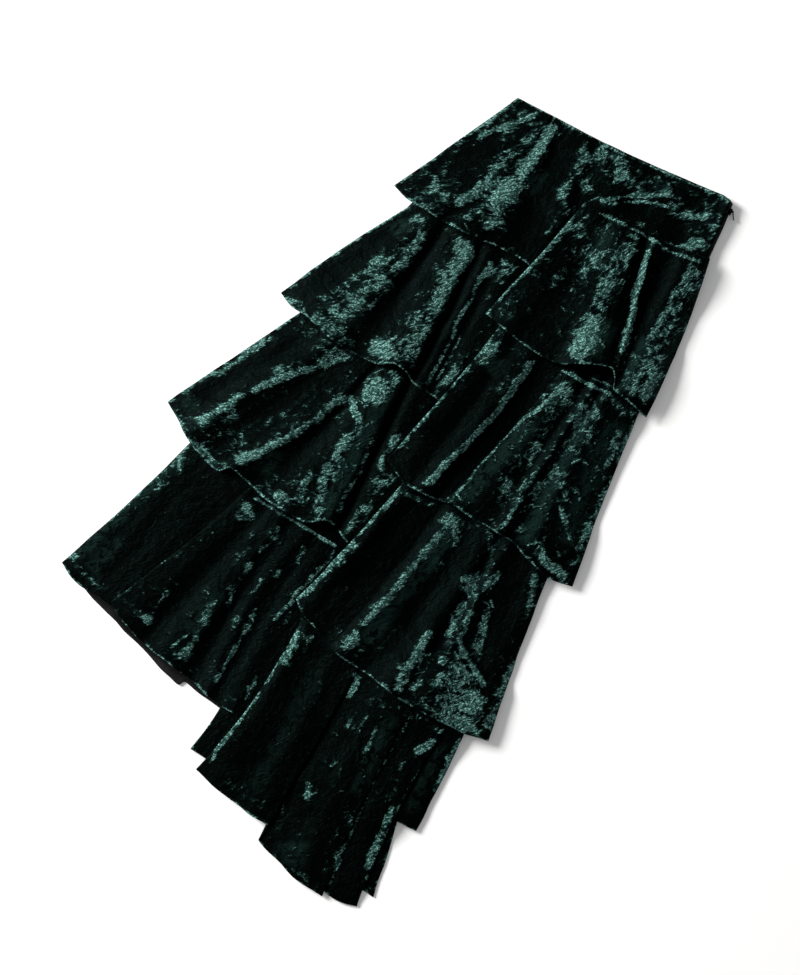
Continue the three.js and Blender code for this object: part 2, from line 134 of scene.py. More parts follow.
# ---- node helpers ------------------------------------------------------------------------------------------------
class Net:
    """A material's nodes, made by short calls."""

    def __init__(self, name):
        self.mat = bpy.data.materials.new(name)
        self.mat.use_nodes = True
        self.t = self.mat.node_tree
        self.t.nodes.clear()
        self.out = self.t.nodes.new("ShaderNodeOutputMaterial")
        self.b = self.t.nodes.new("ShaderNodeBsdfPrincipled")
        self.t.links.new(self.b.outputs[0], self.out.inputs["Surface"])

    def node(self, kind, **props):
        n = self.t.nodes.new(kind)
        for k, v in props.items():
            setattr(n, k, v)
        return n

    def plug(self, value, socket):
        if hasattr(value, "links"):
            self.t.links.new(value, socket)
        else:
            socket.default_value = value

    def math(self, op, a, b=0.0, c=None, clamp=False):
        n = self.node("ShaderNodeMath", operation=op, use_clamp=clamp)
        self.plug(a, n.inputs[0])
        self.plug(b, n.inputs[1])
        if c is not None:
            self.plug(c, n.inputs[2])
        return n.outputs[0]

    def vmath(self, op, a, b):
        n = self.node("ShaderNodeVectorMath", operation=op)
        self.plug(a, n.inputs[0])
        self.plug(b, n.inputs[1])
        return n.outputs[0]

    def uv(self, name="cloth"):
        n = self.node("ShaderNodeUVMap")
        n.uv_map = name
        return n.outputs[0]

    def obj(self):
        return self.node("ShaderNodeTexCoord").outputs["Object"]

    def noise(self, vec, scale=1.0, detail=2.0, rough=0.5, distort=0.0, dims="3D", color=False):
        n = self.node("ShaderNodeTexNoise", noise_dimensions=dims)
        self.plug(vec, n.inputs["Vector"])
        n.inputs["Scale"].default_value = scale
        n.inputs["Detail"].default_value = detail
        n.inputs["Roughness"].default_value = rough
        n.inputs["Distortion"].default_value = distort
        return n.outputs["Color" if color else "Fac"]

    def ramp(self, fac, stops, mode="LINEAR"):
        n = self.node("ShaderNodeValToRGB")
        n.color_ramp.interpolation = mode
        els = n.color_ramp.elements
        while len(els) < len(stops):
            els.new(0.5)
        for e, (at, v) in zip(els, stops):
            e.position = at
            e.color = (v, v, v, 1) if isinstance(v, (int, float)) else (*v, 1)
        self.plug(fac, n.inputs[0])
        return n.outputs[0]

    def span(self, v, a, b, c=0.0, d=1.0):
        n = self.node("ShaderNodeMapRange", interpolation_type="SMOOTHSTEP")
        self.plug(v, n.inputs[0])
        for i, x in enumerate((a, b, c, d)):
            n.inputs[i + 1].default_value = x
        return n.outputs[0]

    def mix(self, fac, a, b, kind="MIX"):
        n = self.node("ShaderNodeMix", data_type="RGBA", blend_type=kind)
        self.plug(fac, n.inputs["Factor"])
        self.plug((*a, 1) if isinstance(a, tuple) else a, n.inputs["A"] if False else n.inputs[6])
        self.plug((*b, 1) if isinstance(b, tuple) else b, n.inputs[7])
        return n.outputs[2]

    def bump(self, height, strength, distance, normal=None):
        n = self.node("ShaderNodeBump")
        n.inputs["Strength"].default_value = strength
        n.inputs["Distance"].default_value = distance
        self.plug(height, n.inputs["Height"])
        if normal is not None:
            self.plug(normal, n.inputs["Normal"])
        return n.outputs[0]


def crushed_velvet():
    """Pile pressed into flecks, its sheen painted into the colour: near black where it leans away, a painted pale teal
    sheen with painted glints where it lies over. One attribute says how much of the pile lies over at a place and
    carries painted highlight and painted shade; another says how much painted shade falls beside an edge laid over it."""
    m = Net("crushed_velvet")
    uv = m.uv()
    lie = m.node("ShaderNodeAttribute", attribute_name="lie").outputs["Fac"]
    painted_gap_shade = m.node("ShaderNodeAttribute", attribute_name="painted_gap_shade").outputs["Fac"]
    calm = m.node("ShaderNodeAttribute", attribute_name="calm").outputs["Fac"]
    warp = m.noise(m.vmath("MULTIPLY", uv, (62, 62, 1)), detail=3, color=True)
    warped = m.vmath("ADD", uv, m.vmath("MULTIPLY", m.vmath("SUBTRACT", warp, (0.5, 0.5, 0.5)), (0.009, 0.009, 0)))
    # strokes pressed slantwise across the folds
    turned = m.node("ShaderNodeVectorRotate", rotation_type="Z_AXIS")
    m.plug(warped, turned.inputs["Vector"])
    turned.inputs["Angle"].default_value = math.radians(STROKES)
    turned = turned.outputs[0]
    strokes = m.noise(m.vmath("MULTIPLY", turned, (135, 400, 1)), detail=3, rough=0.62, distort=0.1)
    curls = m.noise(m.vmath("MULTIPLY", warped, (260, 300, 1)), detail=3, rough=0.65, distort=0.6)
    which = m.span(m.noise(m.vmath("MULTIPLY", uv, (45, 45, 1)), detail=1), 0.47, 0.62)
    press = m.mix(which, strokes, curls)
    clump = m.noise(m.vmath("MULTIPLY", warped, (95, 80, 1)), detail=2, rough=0.55, distort=0.6)
    patch = m.noise(m.vmath("MULTIPLY", uv, (34, 25, 1)), detail=3, rough=0.55)
    glint = m.noise(m.vmath("MULTIPLY", turned, (420, 1100, 1)), detail=1)
    # how much the pile lies over, carrying the painted highlight and painted shade laid into the attribute, broken by
    # clumps and patches
    level = m.math("ADD", m.math("MULTIPLY", lie, 1.18), m.math("MULTIPLY", m.math("SUBTRACT", patch, 0.5), 1.0))
    level = m.math("ADD", level, m.math("MULTIPLY", m.math("SUBTRACT", clump, 0.5), 1.70))
    level = m.math("SUBTRACT", level, 0.087)
    cover = m.span(level, 0.24, 0.90)
    floor_at = m.math("SUBTRACT", 0.640, m.math("MULTIPLY", cover, 0.145))
    fleck = m.span(m.math("SUBTRACT", press, floor_at), -0.030, 0.050)
    shade = m.math("ADD", level, m.math("MULTIPLY", m.math("SUBTRACT", press, 0.5), 1.4))
    shade = m.span(shade, 0.24, 0.98)
    # the dark ground between flecks and the flecks' pale teal: the velvet's sheen painted into the colour, brightest
    # where painted highlight lies
    ground = m.mix(m.math("MULTIPLY", shade, shade), (0.0001, 0.0003, 0.0002), (0.0098, 0.0332, 0.0268))
    shown = m.mix(cover, (0.0020, 0.0098, 0.0078), (0.125, 0.266, 0.242))
    # painted glints that brighten the flecks' colour
    shine = m.math("ADD", 0.16, m.math("MULTIPLY", m.span(glint, 0.44, 0.66), 1.45))
    shown = m.mix(1.0, shown, shine, kind="MULTIPLY")
    tone = m.mix(fleck, ground, shown)
    # where the pile lies evenly: a smooth deep teal
    still = m.mix(m.span(press, 0.30, 0.70), (0.0022, 0.0070, 0.0054), (0.0072, 0.0200, 0.0166))
    even = m.math("MULTIPLY", calm, m.span(m.math("SUBTRACT", clump, m.math("MULTIPLY", calm, 0.10)), 0.56, 0.42), clamp=True)
    tone = m.mix(even, tone, still)
    # painted shade: near black beside an edge laid over it
    tone = m.mix(painted_gap_shade, tone, (0.0002, 0.0004, 0.0003))
    m.plug(tone, m.b.inputs["Base Color"])
    m.plug(m.math("SUBTRACT", 0.58, m.math("MULTIPLY", fleck, 0.20)), m.b.inputs["Roughness"])
    m.b.inputs["Specular IOR Level"].default_value = 0.03
    m.b.inputs["Specular Tint"].default_value = (0.45, 1.0, 0.90, 1)
    m.b.inputs["Sheen Weight"].default_value = 0.015
    m.b.inputs["Sheen Roughness"].default_value = 0.35
    m.b.inputs["Sheen Tint"].default_value = (0.30, 0.70, 0.62, 1)
    big = m.bump(clump, 0.8, 0.0030)
    mid = m.bump(press, 1.0, 0.0012, big)
    m.plug(m.bump(glint, 0.5, 0.0003, mid), m.b.inputs["Normal"])
    return m.mat


def backing():
    """The knitted wrong side, a plain dark grey with fine wales, with painted shade beside an edge laid over it and all
    over a front piece's lower face.
    """
    m = Net("velvet_wrong_side")
    uv = m.uv()
    painted_gap_shade = m.node("ShaderNodeAttribute", attribute_name="painted_gap_shade").outputs["Fac"]
    wale = m.node("ShaderNodeTexWave", wave_type="BANDS", bands_direction="X", wave_profile="SIN")
    m.plug(m.vmath("MULTIPLY", uv, (1, 1, 0)), wale.inputs["Vector"])
    wale.inputs["Scale"].default_value = 330
    wale.inputs["Distortion"].default_value = 0.6
    cloud = m.noise(m.vmath("MULTIPLY", uv, (60, 30, 1)), detail=3)
    tone = m.mix(m.span(cloud, 0.3, 0.7), (0.0058, 0.0062, 0.0062), (0.0098, 0.0099, 0.0099))
    tone = m.mix(m.math("MULTIPLY", wale.outputs["Fac"], 0.30), tone, (0.005, 0.0055, 0.0055))
    # painted shade beside an edge laid over it and on a front piece's lower face
    tone = m.mix(painted_gap_shade, tone, (0.0003, 0.0004, 0.0004))
    m.plug(tone, m.b.inputs["Base Color"])
    m.b.inputs["Roughness"].default_value = 0.9
    m.b.inputs["Sheen Weight"].default_value = 0.03
    m.b.inputs["Specular IOR Level"].default_value = 0.1
    m.plug(m.bump(wale.outputs["Fac"], 0.5, 0.0003), m.b.inputs["Normal"])
    return m.mat


def lining_cloth():
    """The foundation's matte woven cloth."""
    m = Net("foundation_cloth")
    uv = m.uv()
    a = m.node("ShaderNodeTexWave", wave_type="BANDS", bands_direction="X")
    b = m.node("ShaderNodeTexWave", wave_type="BANDS", bands_direction="Y")
    for w in (a, b):
        m.plug(uv, w.inputs["Vector"])
        w.inputs["Scale"].default_value = 420
        w.inputs["Distortion"].default_value = 0.4
    weave = m.math("MULTIPLY", a.outputs["Fac"], b.outputs["Fac"])
    cloud = m.noise(m.vmath("MULTIPLY", uv, (25, 25, 1)), detail=4)
    tone = m.mix(m.span(cloud, 0.3, 0.7), (0.0016, 0.0034, 0.0030), (0.0034, 0.0064, 0.0056))
    tone = m.mix(m.math("MULTIPLY", weave, 0.5), tone, (0.006, 0.010, 0.009))
    # painted shade beside an edge laid over it
    tone = m.mix(m.node("ShaderNodeAttribute", attribute_name="painted_gap_shade").outputs["Fac"], tone, (0.0003, 0.0004, 0.0004))
    m.plug(tone, m.b.inputs["Base Color"])
    m.b.inputs["Roughness"].default_value = 0.88
    m.plug(m.bump(weave, 0.5, 0.0002), m.b.inputs["Normal"])
    return m.mat


def tape_cloth():
    m = Net("zip_tape_cloth")
    uv = m.obj()
    w = m.node("ShaderNodeTexWave", wave_type="BANDS", bands_direction="DIAGONAL")
    m.plug(uv, w.inputs["Vector"])
    w.inputs["Scale"].default_value = 500
    cloud = m.noise(uv, scale=90, detail=3)
    m.plug(m.mix(cloud, (0.004, 0.006, 0.0055), (0.014, 0.018, 0.017)), m.b.inputs["Base Color"])
    m.b.inputs["Roughness"].default_value = 0.8
    m.plug(m.bump(w.outputs["Fac"], 0.4, 0.0002), m.b.inputs["Normal"])
    return m.mat


def enamel():
    m = Net("black_enamel")
    o = m.obj()
    cloud = m.noise(o, scale=260, detail=3)
    worn = m.noise(o, scale=900, detail=4, rough=0.7)
    m.plug(m.mix(m.span(worn, 0.66, 0.80), (0.0022, 0.0022, 0.0024), (0.012, 0.012, 0.012)), m.b.inputs["Base Color"])
    m.plug(m.math("ADD", 0.42, m.math("MULTIPLY", cloud, 0.25)), m.b.inputs["Roughness"])
    m.b.inputs["Metallic"].default_value = 0.2
    m.b.inputs["Specular IOR Level"].default_value = 0.15
    m.plug(m.bump(worn, 0.25, 0.0001), m.b.inputs["Normal"])
    return m.mat


def floor_material():
    m = Net("floor_white")
    o = m.obj()
    cloud = m.noise(o, scale=3.0, detail=3)
    m.plug(m.mix(cloud, (0.84, 0.84, 0.84), (0.87, 0.87, 0.87)), m.b.inputs["Base Color"])
    m.b.inputs["Roughness"].default_value = 0.9
    m.b.inputs["Specular IOR Level"].default_value = 0.1
    return m.mat


VELVET, WRONG, FOUND, TAPE, ENAMEL = crushed_velvet(), backing(), lining_cloth(), tape_cloth(), enamel()

bpy.ops.mesh.primitive_plane_add(size=12, location=(0, 0, -0.0004))
floor = bpy.context.object
floor.name = "floor"
floor.data.materials.append(floor_material())
floor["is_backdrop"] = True

# ---- heights already taken, on a grid ------------------------------------------------------------------------------
CELL = 3.0
GX0, GY0, GNX, GNY = -450.0, -1070.0, 230, 370
taken = np.zeros((GNY, GNX))


def dilate(h, n):
    for _ in range(n):
        p = np.pad(h, 1, mode="edge")
        h = np.maximum.reduce([p[i : i + h.shape[0], j : j + h.shape[1]] for i in range(3) for j in range(3)])
    return h


def coned(h, slope, n):
    """Every height spreads outwards, coming down at the slope."""
    for _ in range(n):
        p = np.pad(h, 1, mode="edge")
        best = h
        for i in range(3):
            for j in range(3):
                d = CELL * math.hypot(i - 1, j - 1)
                if d:
                    best = np.maximum(best, p[i : i + h.shape[0], j : j + h.shape[1]] - slope * d)
        h = best
    return h


def blurred(h, n):
    for _ in range(n):
        p = np.pad(h, 1, mode="edge")
        h = sum(p[i : i + h.shape[0], j : j + h.shape[1]] for i in range(3) for j in range(3)) / 9
    return h


def support(slope=0.16, reach=18, soften=3):
    near = dilate(taken, 1)
    return np.maximum(near, blurred(coned(near, slope, reach), soften))


def sample(h, x, y):
    gx = np.clip((x - GX0) / CELL - 0.5, 0, GNX - 1.001)
    gy = np.clip((y - GY0) / CELL - 0.5, 0, GNY - 1.001)
    i, j = gx.astype(int), gy.astype(int)
    a, b = gx - i, gy - j
    return (h[j, i] * (1 - a) + h[j, i + 1] * a) * (1 - b) + (h[j + 1, i] * (1 - a) + h[j + 1, i + 1] * a) * b


def take(x, y, z):
    i = np.clip(((x - GX0) / CELL).astype(int), 0, GNX - 1).ravel()
    j = np.clip(((y - GY0) / CELL).astype(int), 0, GNY - 1).ravel()
    np.maximum.at(taken, (j, i), z.ravel())


# ---- curves, noise, folds -------------------------------------------------------------------------------------------
def along(line, t):
    return np.interp(t, [p[0] for p in line], [p[1] for p in line])


def through(values, u):
    """A run through a table's values that never swings past them."""
    v = np.asarray(values, float)
    d = np.diff(v)
    m = np.zeros(len(v))
    m[0], m[-1] = d[0], d[-1]
    for k in range(1, len(v) - 1):
        a, b = d[k - 1], d[k]
        m[k] = 0 if a * b <= 0 else 2 * a * b / (a + b)
    i = np.clip(u.astype(int), 0, len(v) - 2)
    t = u - i
    t2, t3 = t * t, t * t * t
    return (2 * t3 - 3 * t2 + 1) * v[i] + (t3 - 2 * t2 + t) * m[i] + (3 * t2 - 2 * t3) * v[i + 1] + (t3 - t2) * m[i + 1]


def bow(a, m, b, v):
    return a * (1 - v) * (1 - 2 * v) + m * 4 * v * (1 - v) + b * v * (2 * v - 1)


def vnoise(u, v, seed):
    """Smooth noise from -1 to 1 on a seeded lattice."""
    rng = np.random.default_rng(seed)
    g = rng.uniform(-1, 1, (64, 64))
    iu, iv = np.floor(u).astype(int), np.floor(v).astype(int)
    a, b = u - iu, v - iv
    a, b = a * a * (3 - 2 * a), b * b * (3 - 2 * b)
    at = lambda p, q: g[q % 64, p % 64]
    return (at(iu, iv) * (1 - a) + at(iu + 1, iv) * a) * (1 - b) + (at(iu, iv + 1) * (1 - a) + at(iu + 1, iv + 1) * a) * b


def smooth01(t):
    t = np.clip(t, 0, 1)
    return t * t * (3 - 2 * t)


def crease(x, y, line, height, left, right, power=2.0):
    """A ridge, or a trough where height is negative, along a line of points. left and right are its widths."""
    pts = np.asarray(line, float)
    seg = np.diff(pts, axis=0)
    lens = np.hypot(seg[:, 0], seg[:, 1])
    total = lens.sum()
    best = np.full(x.shape, 1e9)
    side = np.zeros(x.shape)
    run = np.zeros(x.shape)
    s0 = 0.0
    for p, d, n in zip(pts[:-1], seg, lens):
        rx, ry = x - p[0], y - p[1]
        t = (rx * d[0] + ry * d[1]) / (n * n)
        tc = np.clip(t, 0, 1)
        dist = np.hypot(rx - d[0] * tc, ry - d[1] * tc)
        s = np.sign(d[0] * ry - d[1] * rx)
        near = dist < best
        best = np.where(near, dist, best)
        side = np.where(near, s, side)
        run = np.where(near, s0 + tc * n, run)
        s0 += n
    width = np.where(side > 0, left, right)
    ends = min(14.0, 0.3 * total)
    taper = smooth01(run / ends) * smooth01((total - run) / ends)
    return height * np.exp(-((best / width) ** power)) * taper


FOLD = ["fold", "seamX", "midX", "hemX", "hemY", "seamZ", "midZ", "hemZ"]
FRONT = {}
FRONT["tier_5_left"] = dict(
    seam=[[-140, -838], [-20, -846]],
    folds=[
        ["edge", -134, -137, -144, -920, 0, 0, 0],
        ["flat", -100, -102, -108, -923, 0, 0.5, 0.5],
        ["end", -24, -24, -26, -926, 0, 0, 0],
    ],
)
FRONT["tier_4_side"] = dict(
    seam=[[0, -722], [154, -724]],
    folds=[
        ["end", 14, 14, 14, -876, 0, 0, 0],
        ["swell", 70, 72, 74, -880, 1, 1.5, 1],
        ["hollow", 112, 114, 116, -881, 0, 0, 0],
        ["swell_side", 134, 136, 137, -881, 1, 1.5, 1],
        ["side", 152, 155.5, 155.5, -881, 0, 0, 0],
    ],
)
FRONT["tier_4_left"] = dict(
    seam=[[-340, -566], [-250, -581], [-150, -587], [-90, -592], [0, -594]],
    folds=[
        ["side", -318, -355, -396, -785, 0, 0, 0],
        ["plain", -292, -328, -372, -798, 0.6, 1.2, 1],
        ["tuck~", -208, -252, -306, -806, 0, 0, 0],
        ["tuck_over~", -208, -252, -306, -806, P1, P1, P1],
        ["pleat_1~", -224, -267, -318, -801, P1, P1, P1],
        ["pleat_1_over~", -224, -267, -318, -801, P2, P2, P2],
        ["swell_1", -206, -246, -292, -817, P2 + 1, P2 + 2, P2 + 2],
        ["hollow_1", -192, -226, -262, -827, P1, P1, 2],
        ["ridge_2", -184, -205, -234, -834, P2, P2 + 2, P2 + 3],
        ["ridge_3", -172, -194, -212, -837, P2 + 1, P2 + 2, P2 + 2],
        ["hollow_3", -158, -176, -184, -843, 1, 1, 1],
        ["ridge_4", -134, -160, -158, -850, P2, P2 + 2, P2 + 3],
        ["hollow_4", -122, -140, -143, -852, 1, 1, 1],
        ["ridge_5", -104, -124, -118, -854, P1, P1 + 2, P1 + 2],
        ["hollow_5", -84, -100, -100, -857, 0.5, 0.5, 0.5],
        ["end", -20, -28, -34, -860, 0, 0, 0],
    ],
)
FRONT["tier_4_right"] = dict(
    seam=[[-96, -708], [-60, -714], [132, -728]],
    folds=[
        ["free_edge", -95, -101, -126, -939.5, 0, 0.5, 0.5],
        ["ridge_a", -82, -86, -98, -948, 3, 4, 3],
        ["hollow_a", -56, -58, -66, -955, 1, 1.5, 1.5],
        ["ridge_b", -30, -34, -40, -958, P2 + 1, P2 + 2, P2 + 1],
        ["pleat_1_over~", -4, -7, -14, -960, P2, P2, P2],
        ["pleat_1~", -4, -7, -14, -960, P1, P1, P1],
        ["tuck_1_over~", -18, -21, -14.5, -982, P1, P1, P1],
        ["tuck_1~", -18, -21, -14.5, -983, 0, 0, 0],
        ["start_b", 2, 0, -4, -988, 0, 0, 0],
        ["hollow_b", 22, 20, 22, -996, 1, 1, 1],
        ["ridge_c", 45, 46, 50, -1005, P2 + 1, P2 + 2, P2 + 1],
        ["pleat_2_over~", 81, 79, 88, -1009, P2, P2, P2],
        ["pleat_2~", 81, 79, 88, -1008, P1, P1, P1],
        ["tuck_2_over~", 68, 66, 74, -1000, P1, P1, P1],
        ["tuck_2~", 68, 66, 74, -1000, 0, 0, 0],
        ["flat_c", 100, 98, 109, -1006, 1, 1, 1],
        ["side", 130, 123, 133, -1002, 0, 0, 0],
    ],
)
FRONT["tier_3_left"] = dict(
    seam=[[-266, -352], [-100, -366], [0, -372]],
    folds=[
        ["side", -265, -318, -371, -544, 0, 0, 0],
        ["hollow_1", -236, -294, -350, -557, 0.3, 0.6, 0.6],
        ["ridge_1", -202, -270, -330, -571, 4, 8, 8],
        ["hollow_2", -187, -240, -302, -585, 0, 0.5, 1],
        ["flank_2", -176, -222, -275, -592, 1, 3, 4],
        ["ridge_2", -162, -196, -259, -581, 3, 7, 9],
        ["hollow_3", -156, -178, -226, -590, 0, 0.5, 0.5],
        ["ridge_3", -146, -156, -186, -598, 4, 7, 5],
        ["ridge_4", -132, -136, -150, -599, 5, 9, 8],
        ["ridge_5", -120, -118, -122, -585, 4, 8, 11],
        ["hollow_5", -110, -109, -107, -588, 0, 0, 0.5],
        ["ridge_6", -94, -92, -88, -596, 3, 5, 5],
        ["end", -20, -28, -36, -602, 0, 0, 0],
    ],
)
FRONT["tier_3_right"] = dict(
    seam=[[-60, -486], [155, -494]],
    folds=[
        ["free_edge", -57, -82, -112, -690, 0.5, 1, 1],
        ["lip", -47, -70, -97, -702, 3, 5, 4],
        ["hollow_1", -28, -46, -66, -715, 0, 0, 0.5],
        ["foot_2", -4, -22, -48, -722, 0.5, 0.5, 1],
        ["ridge_2", 12, -3, -34, -727, 6, 9, 8],
        ["hollow_2", 38, 33, 8, -732, 1, 1, 1],
        ["ridge_3", 65, 60, 40, -738, 5, 7, 7],
        ["hollow_3", 80, 76, 66, -742, 2, 2, 2],
        ["ridge_4", 96, 90, 100, -744, 5, 7, 6],
        ["hollow_4", 116, 124, 136, -744, 0.5, 1, 2],
        ["ridge_5", 134, 150, 162, -742, 2, 3, 2],
        ["side", 154, 167, 185, -738, 0, 0, 0],
    ],
)
FRONT["tier_2_left"] = dict(
    seam=[[-206, -166], [0, -170]],
    folds=[
        ["side", -200, -258, -306, -356, 0, 0, 0],
        ["flank_1", -190, -240, -288, -364, 1, 2, 2],
        ["ridge_1", -178, -214, -252, -371, 4, 8, 7],
        ["ridge_2", -170, -194, -222, -379, 4, 7, 6],
        ["hollow_2", -160, -172, -194, -382, 0, 0, 0.5],
        ["flank_3", -145, -156, -160, -381, 5, 6, 5],
        ["ridge_3", -131, -138, -137, -371, 7, 10, 12],
        ["brow_3", -119, -119, -120, -374, 6, 9, 9],
        ["hollow_3", -111, -108, -108, -381, 0, 0, 0],
        ["ridge_4", -98, -97, -97, -384, 3, 4, 4],
        ["hollow_4", -80, -80, -80, -384, 0, 0.5, 0.5],
        ["ridge_5", -62, -62, -62, -386, 2, 4, 4],
        ["end", 6, 4, 0, -388, 0, 0, 0],
    ],
)
FRONT["tier_2_right"] = dict(
    seam=[[-42, -250], [160, -250]],
    folds=[
        ["free_edge", -39, -62, -92, -482, 0, 0.5, 0.5],
        ["lip", -28, -48, -73, -492, 2, 3, 3],
        ["hollow_1", -12, -30, -52, -499, 0, 0, 0.5],
        ["ridge_1", 14, -6, -33, -500, 4, 7, 7],
        ["hollow_2", 30, 14, -12, -498, 0, 0, 0.5],
        ["tuck~", 72, 48, 14, -494, 0, 0, 0],
        ["tuck_over~", 72, 48, 14, -494, P1, P1, P1],
        ["pleat~", 59, 33, -2, -491, P1, P1, P1],
        ["pleat_over~", 59, 33, -2, -491, P2, P2, P2],
        ["swell", 76, 54, 28, -497, P2 + 3, P2 + 4, P2 + 4],
        ["hollow_3", 90, 76, 58, -499, P1, P1, P1],
        ["ridge_4", 100, 89, 75, -500, P2 + 2, P2 + 4, P2 + 4],
        ["hollow_4", 109, 101, 96, -502, 1, 1, 1],
        ["ridge_5", 121, 118, 122, -512, P2, P2 + 2, P2],
        ["flank_5", 142, 148, 160, -521, 2, 2, 2],
        ["side", 160.5, 173, 189, -517, 0, 0, 0],
    ],
)
FRONT["yoke_front"] = dict(
    seam=[[-154, 0], [-60, -1], [0, 0], [80, 5], [133, 9], [149, 5]],
    folds=[
        ["side", -154, -197, -240.5, -171, 0, 0, 0],
        ["hollow_1", -134, -170, -219, -179, 0.3, 0.5, 0.5],
        ["ridge_1", -108, -134, -192, -181, 2, 5, 5],
        ["hollow_2", -103, -116, -168, -183, 1, 2.5, 1.5],
        ["ridge_2", -96, -101, -146, -184, 2, 6, 6],
        ["hollow_3", -84, -76, -63, -180, 0.3, 0.5, 0.5],
        ["ridge_3", -54, -40, -36, -183, 2, 5, 4],
        ["hollow_4", -34, -24, -8, -180, 0.3, 0.5, 0],
        ["ridge_4", -10, 6, 16, -170, 2, 4, 0],
        ["hollow_5", 30, 44, 48, -150, 0.3, 1, 0],
        ["ridge_5", 64, 78, 84, -130, 2, 3, 0],
        ["hollow_6", 100, 104, 108, -118, 0.5, 0.5, 0],
        ["ridge_6", 128, 130, 130, -112, 3, 4, 0],
        ["roll", 143, 147, 149.5, -109, 7, 6, 0],
        ["side_right", 148.2, 152.4, 154, -108, 0, 0, 0],
    ],
)
FRONT["tier_1_right"] = dict(
    seam=[[-20, -80], [60, -78], [100, -82], [135, -75], [154, -71]],
    folds=[
        ["free_edge", -18, -40, -65, -262, 0, 0.5, 0.5],
        ["lap", 2, -14, -38, -268, 0.6, 2, 3],
        ["hollow_1", 16, 10, -2, -275, 0, 0.6, 0.5],
        ["flank_1", 29, 31, 38, -277, 4, 6, 4],
        ["ridge_1", 46, 54, 62, -267, 6, 12, 14],
        ["brow_1", 59, 73, 84, -257, 5, 11, 14],
        ["hollow_2", 70, 91, 105, -251, 0, 1.5, 8],
        ["ridge_2", 80, 98, 115, -260, 5, 7, 8],
        ["hollow_3", 108, 110, 121, -273, 0, 0, 1],
        ["ridge_3", 124, 132, 136, -276, 4, 6, 5],
        ["ridge_4", 140, 151, 156, -281, 4, 5, 4],
        ["side", 153.6, 169, 173.5, -284, 0, 0, 0],
    ],
)
# ---- back tiers, the same way, face down; their folds are low because they are lain on ------------------------------
BACK = {}
BACK["yoke_back"] = dict(
    seam=[[-151, -3], [-20, -4], [148, 5]],
    folds=[
        ["side", -151, -171, -194, -94.6, 0, 0, 0],
        ["hollow_1", -120, -136, -150, -94.6, 0, 0, 0],
        ["ridge_1", -96, -108, -120, -94.6, 0.5, 1.5, 1],
        ["hollow_2", -60, -66, -72, -94.6, 0, 0, 0],
        ["ridge_2", -10, -12, -14, -94.6, 0.3, 1.2, 1],
        ["hollow_3", 50, 50, 50, -94.6, 0, 0, 0],
        ["side_right", 147.6, 150.6, 153, -94.6, 0, 0, 0],
    ],
)
BACK["tier_1_back"] = dict(
    seam=[[-195, -95.4], [153, -95.4]],
    folds=[
        ["side", -194, -214, -236, -169, 0, 0, 0],
        ["hollow_1", -168, -182, -200, -180, 0, 0, 0],
        ["ridge_1", -140, -150, -164, -192, 0.5, 2, 2],
        ["hollow_2", -112, -120, -128, -202, 0, 0, 0],
        ["ridge_2", -70, -74, -80, -218, 0.5, 2.5, 2.5],
        ["hollow_3", -36, -38, -40, -230, 0, 0, 0],
        ["ridge_3", 14, 16, 18, -246, 0.5, 2, 2.5],
        ["hollow_4", 56, 58, 62, -256, 0, 0, 0],
        ["ridge_4", 98, 104, 110, -268, 0.5, 2, 1.5],
        ["side_right", 153, 163, 170.5, -282, 0, 0, 0],
    ],
)
BACK["tier_2_back"] = dict(
    seam=[[-212, -186], [-94, -184], [161, -260]],
    folds=[
        ["side", -211, -256, -302, -355, 0, 0, 0],
        ["hollow_1", -186, -224, -262, -364, 0, 0, 0],
        ["ridge_1", -160, -188, -220, -376, 1, 3, 3],
        ["hollow_2", -134, -150, -176, -390, 0, 0, 0],
        ["ridge_2", -96, -108, -122, -410, 1, 2.5, 3],
        ["hollow_3", -60, -66, -76, -428, 0, 0, 0],
        ["ridge_3", -14, -16, -20, -450, 1, 3, 3],
        ["hollow_4", 26, 26, 28, -466, 0, 0, 0],
        ["ridge_4", 70, 76, 82, -484, 1, 2.5, 2.5],
        ["hollow_5", 112, 120, 130, -498, 0, 0, 0],
        ["side_right", 158, 168, 186, -513, 0, 0, 0],
    ],
)
BACK["tier_3_back"] = dict(
    seam=[[-276, -374], [-114, -398], [152, -491]],
    folds=[
        ["side", -271, -310, -363, -542, 0, 0, 0],
        ["hollow_1", -240, -280, -318, -558, 0, 0, 0],
        ["ridge_1", -206, -236, -266, -578, 1, 3, 3.5],
        ["hollow_2", -170, -190, -214, -598, 0, 0, 0],
        ["ridge_2", -124, -138, -154, -622, 1, 3, 3],
        ["hollow_3", -82, -92, -100, -642, 0, 0, 0],
        ["ridge_3", -34, -38, -42, -664, 1, 3, 3.5],
        ["hollow_4", 8, 8, 12, -684, 0, 0, 0],
        ["ridge_4", 58, 62, 70, -706, 1, 2.5, 3],
        ["hollow_5", 104, 112, 124, -724, 0, 0, 0],
        ["side_right", 150, 162, 181, -736, 0, 0, 0],
    ],
)
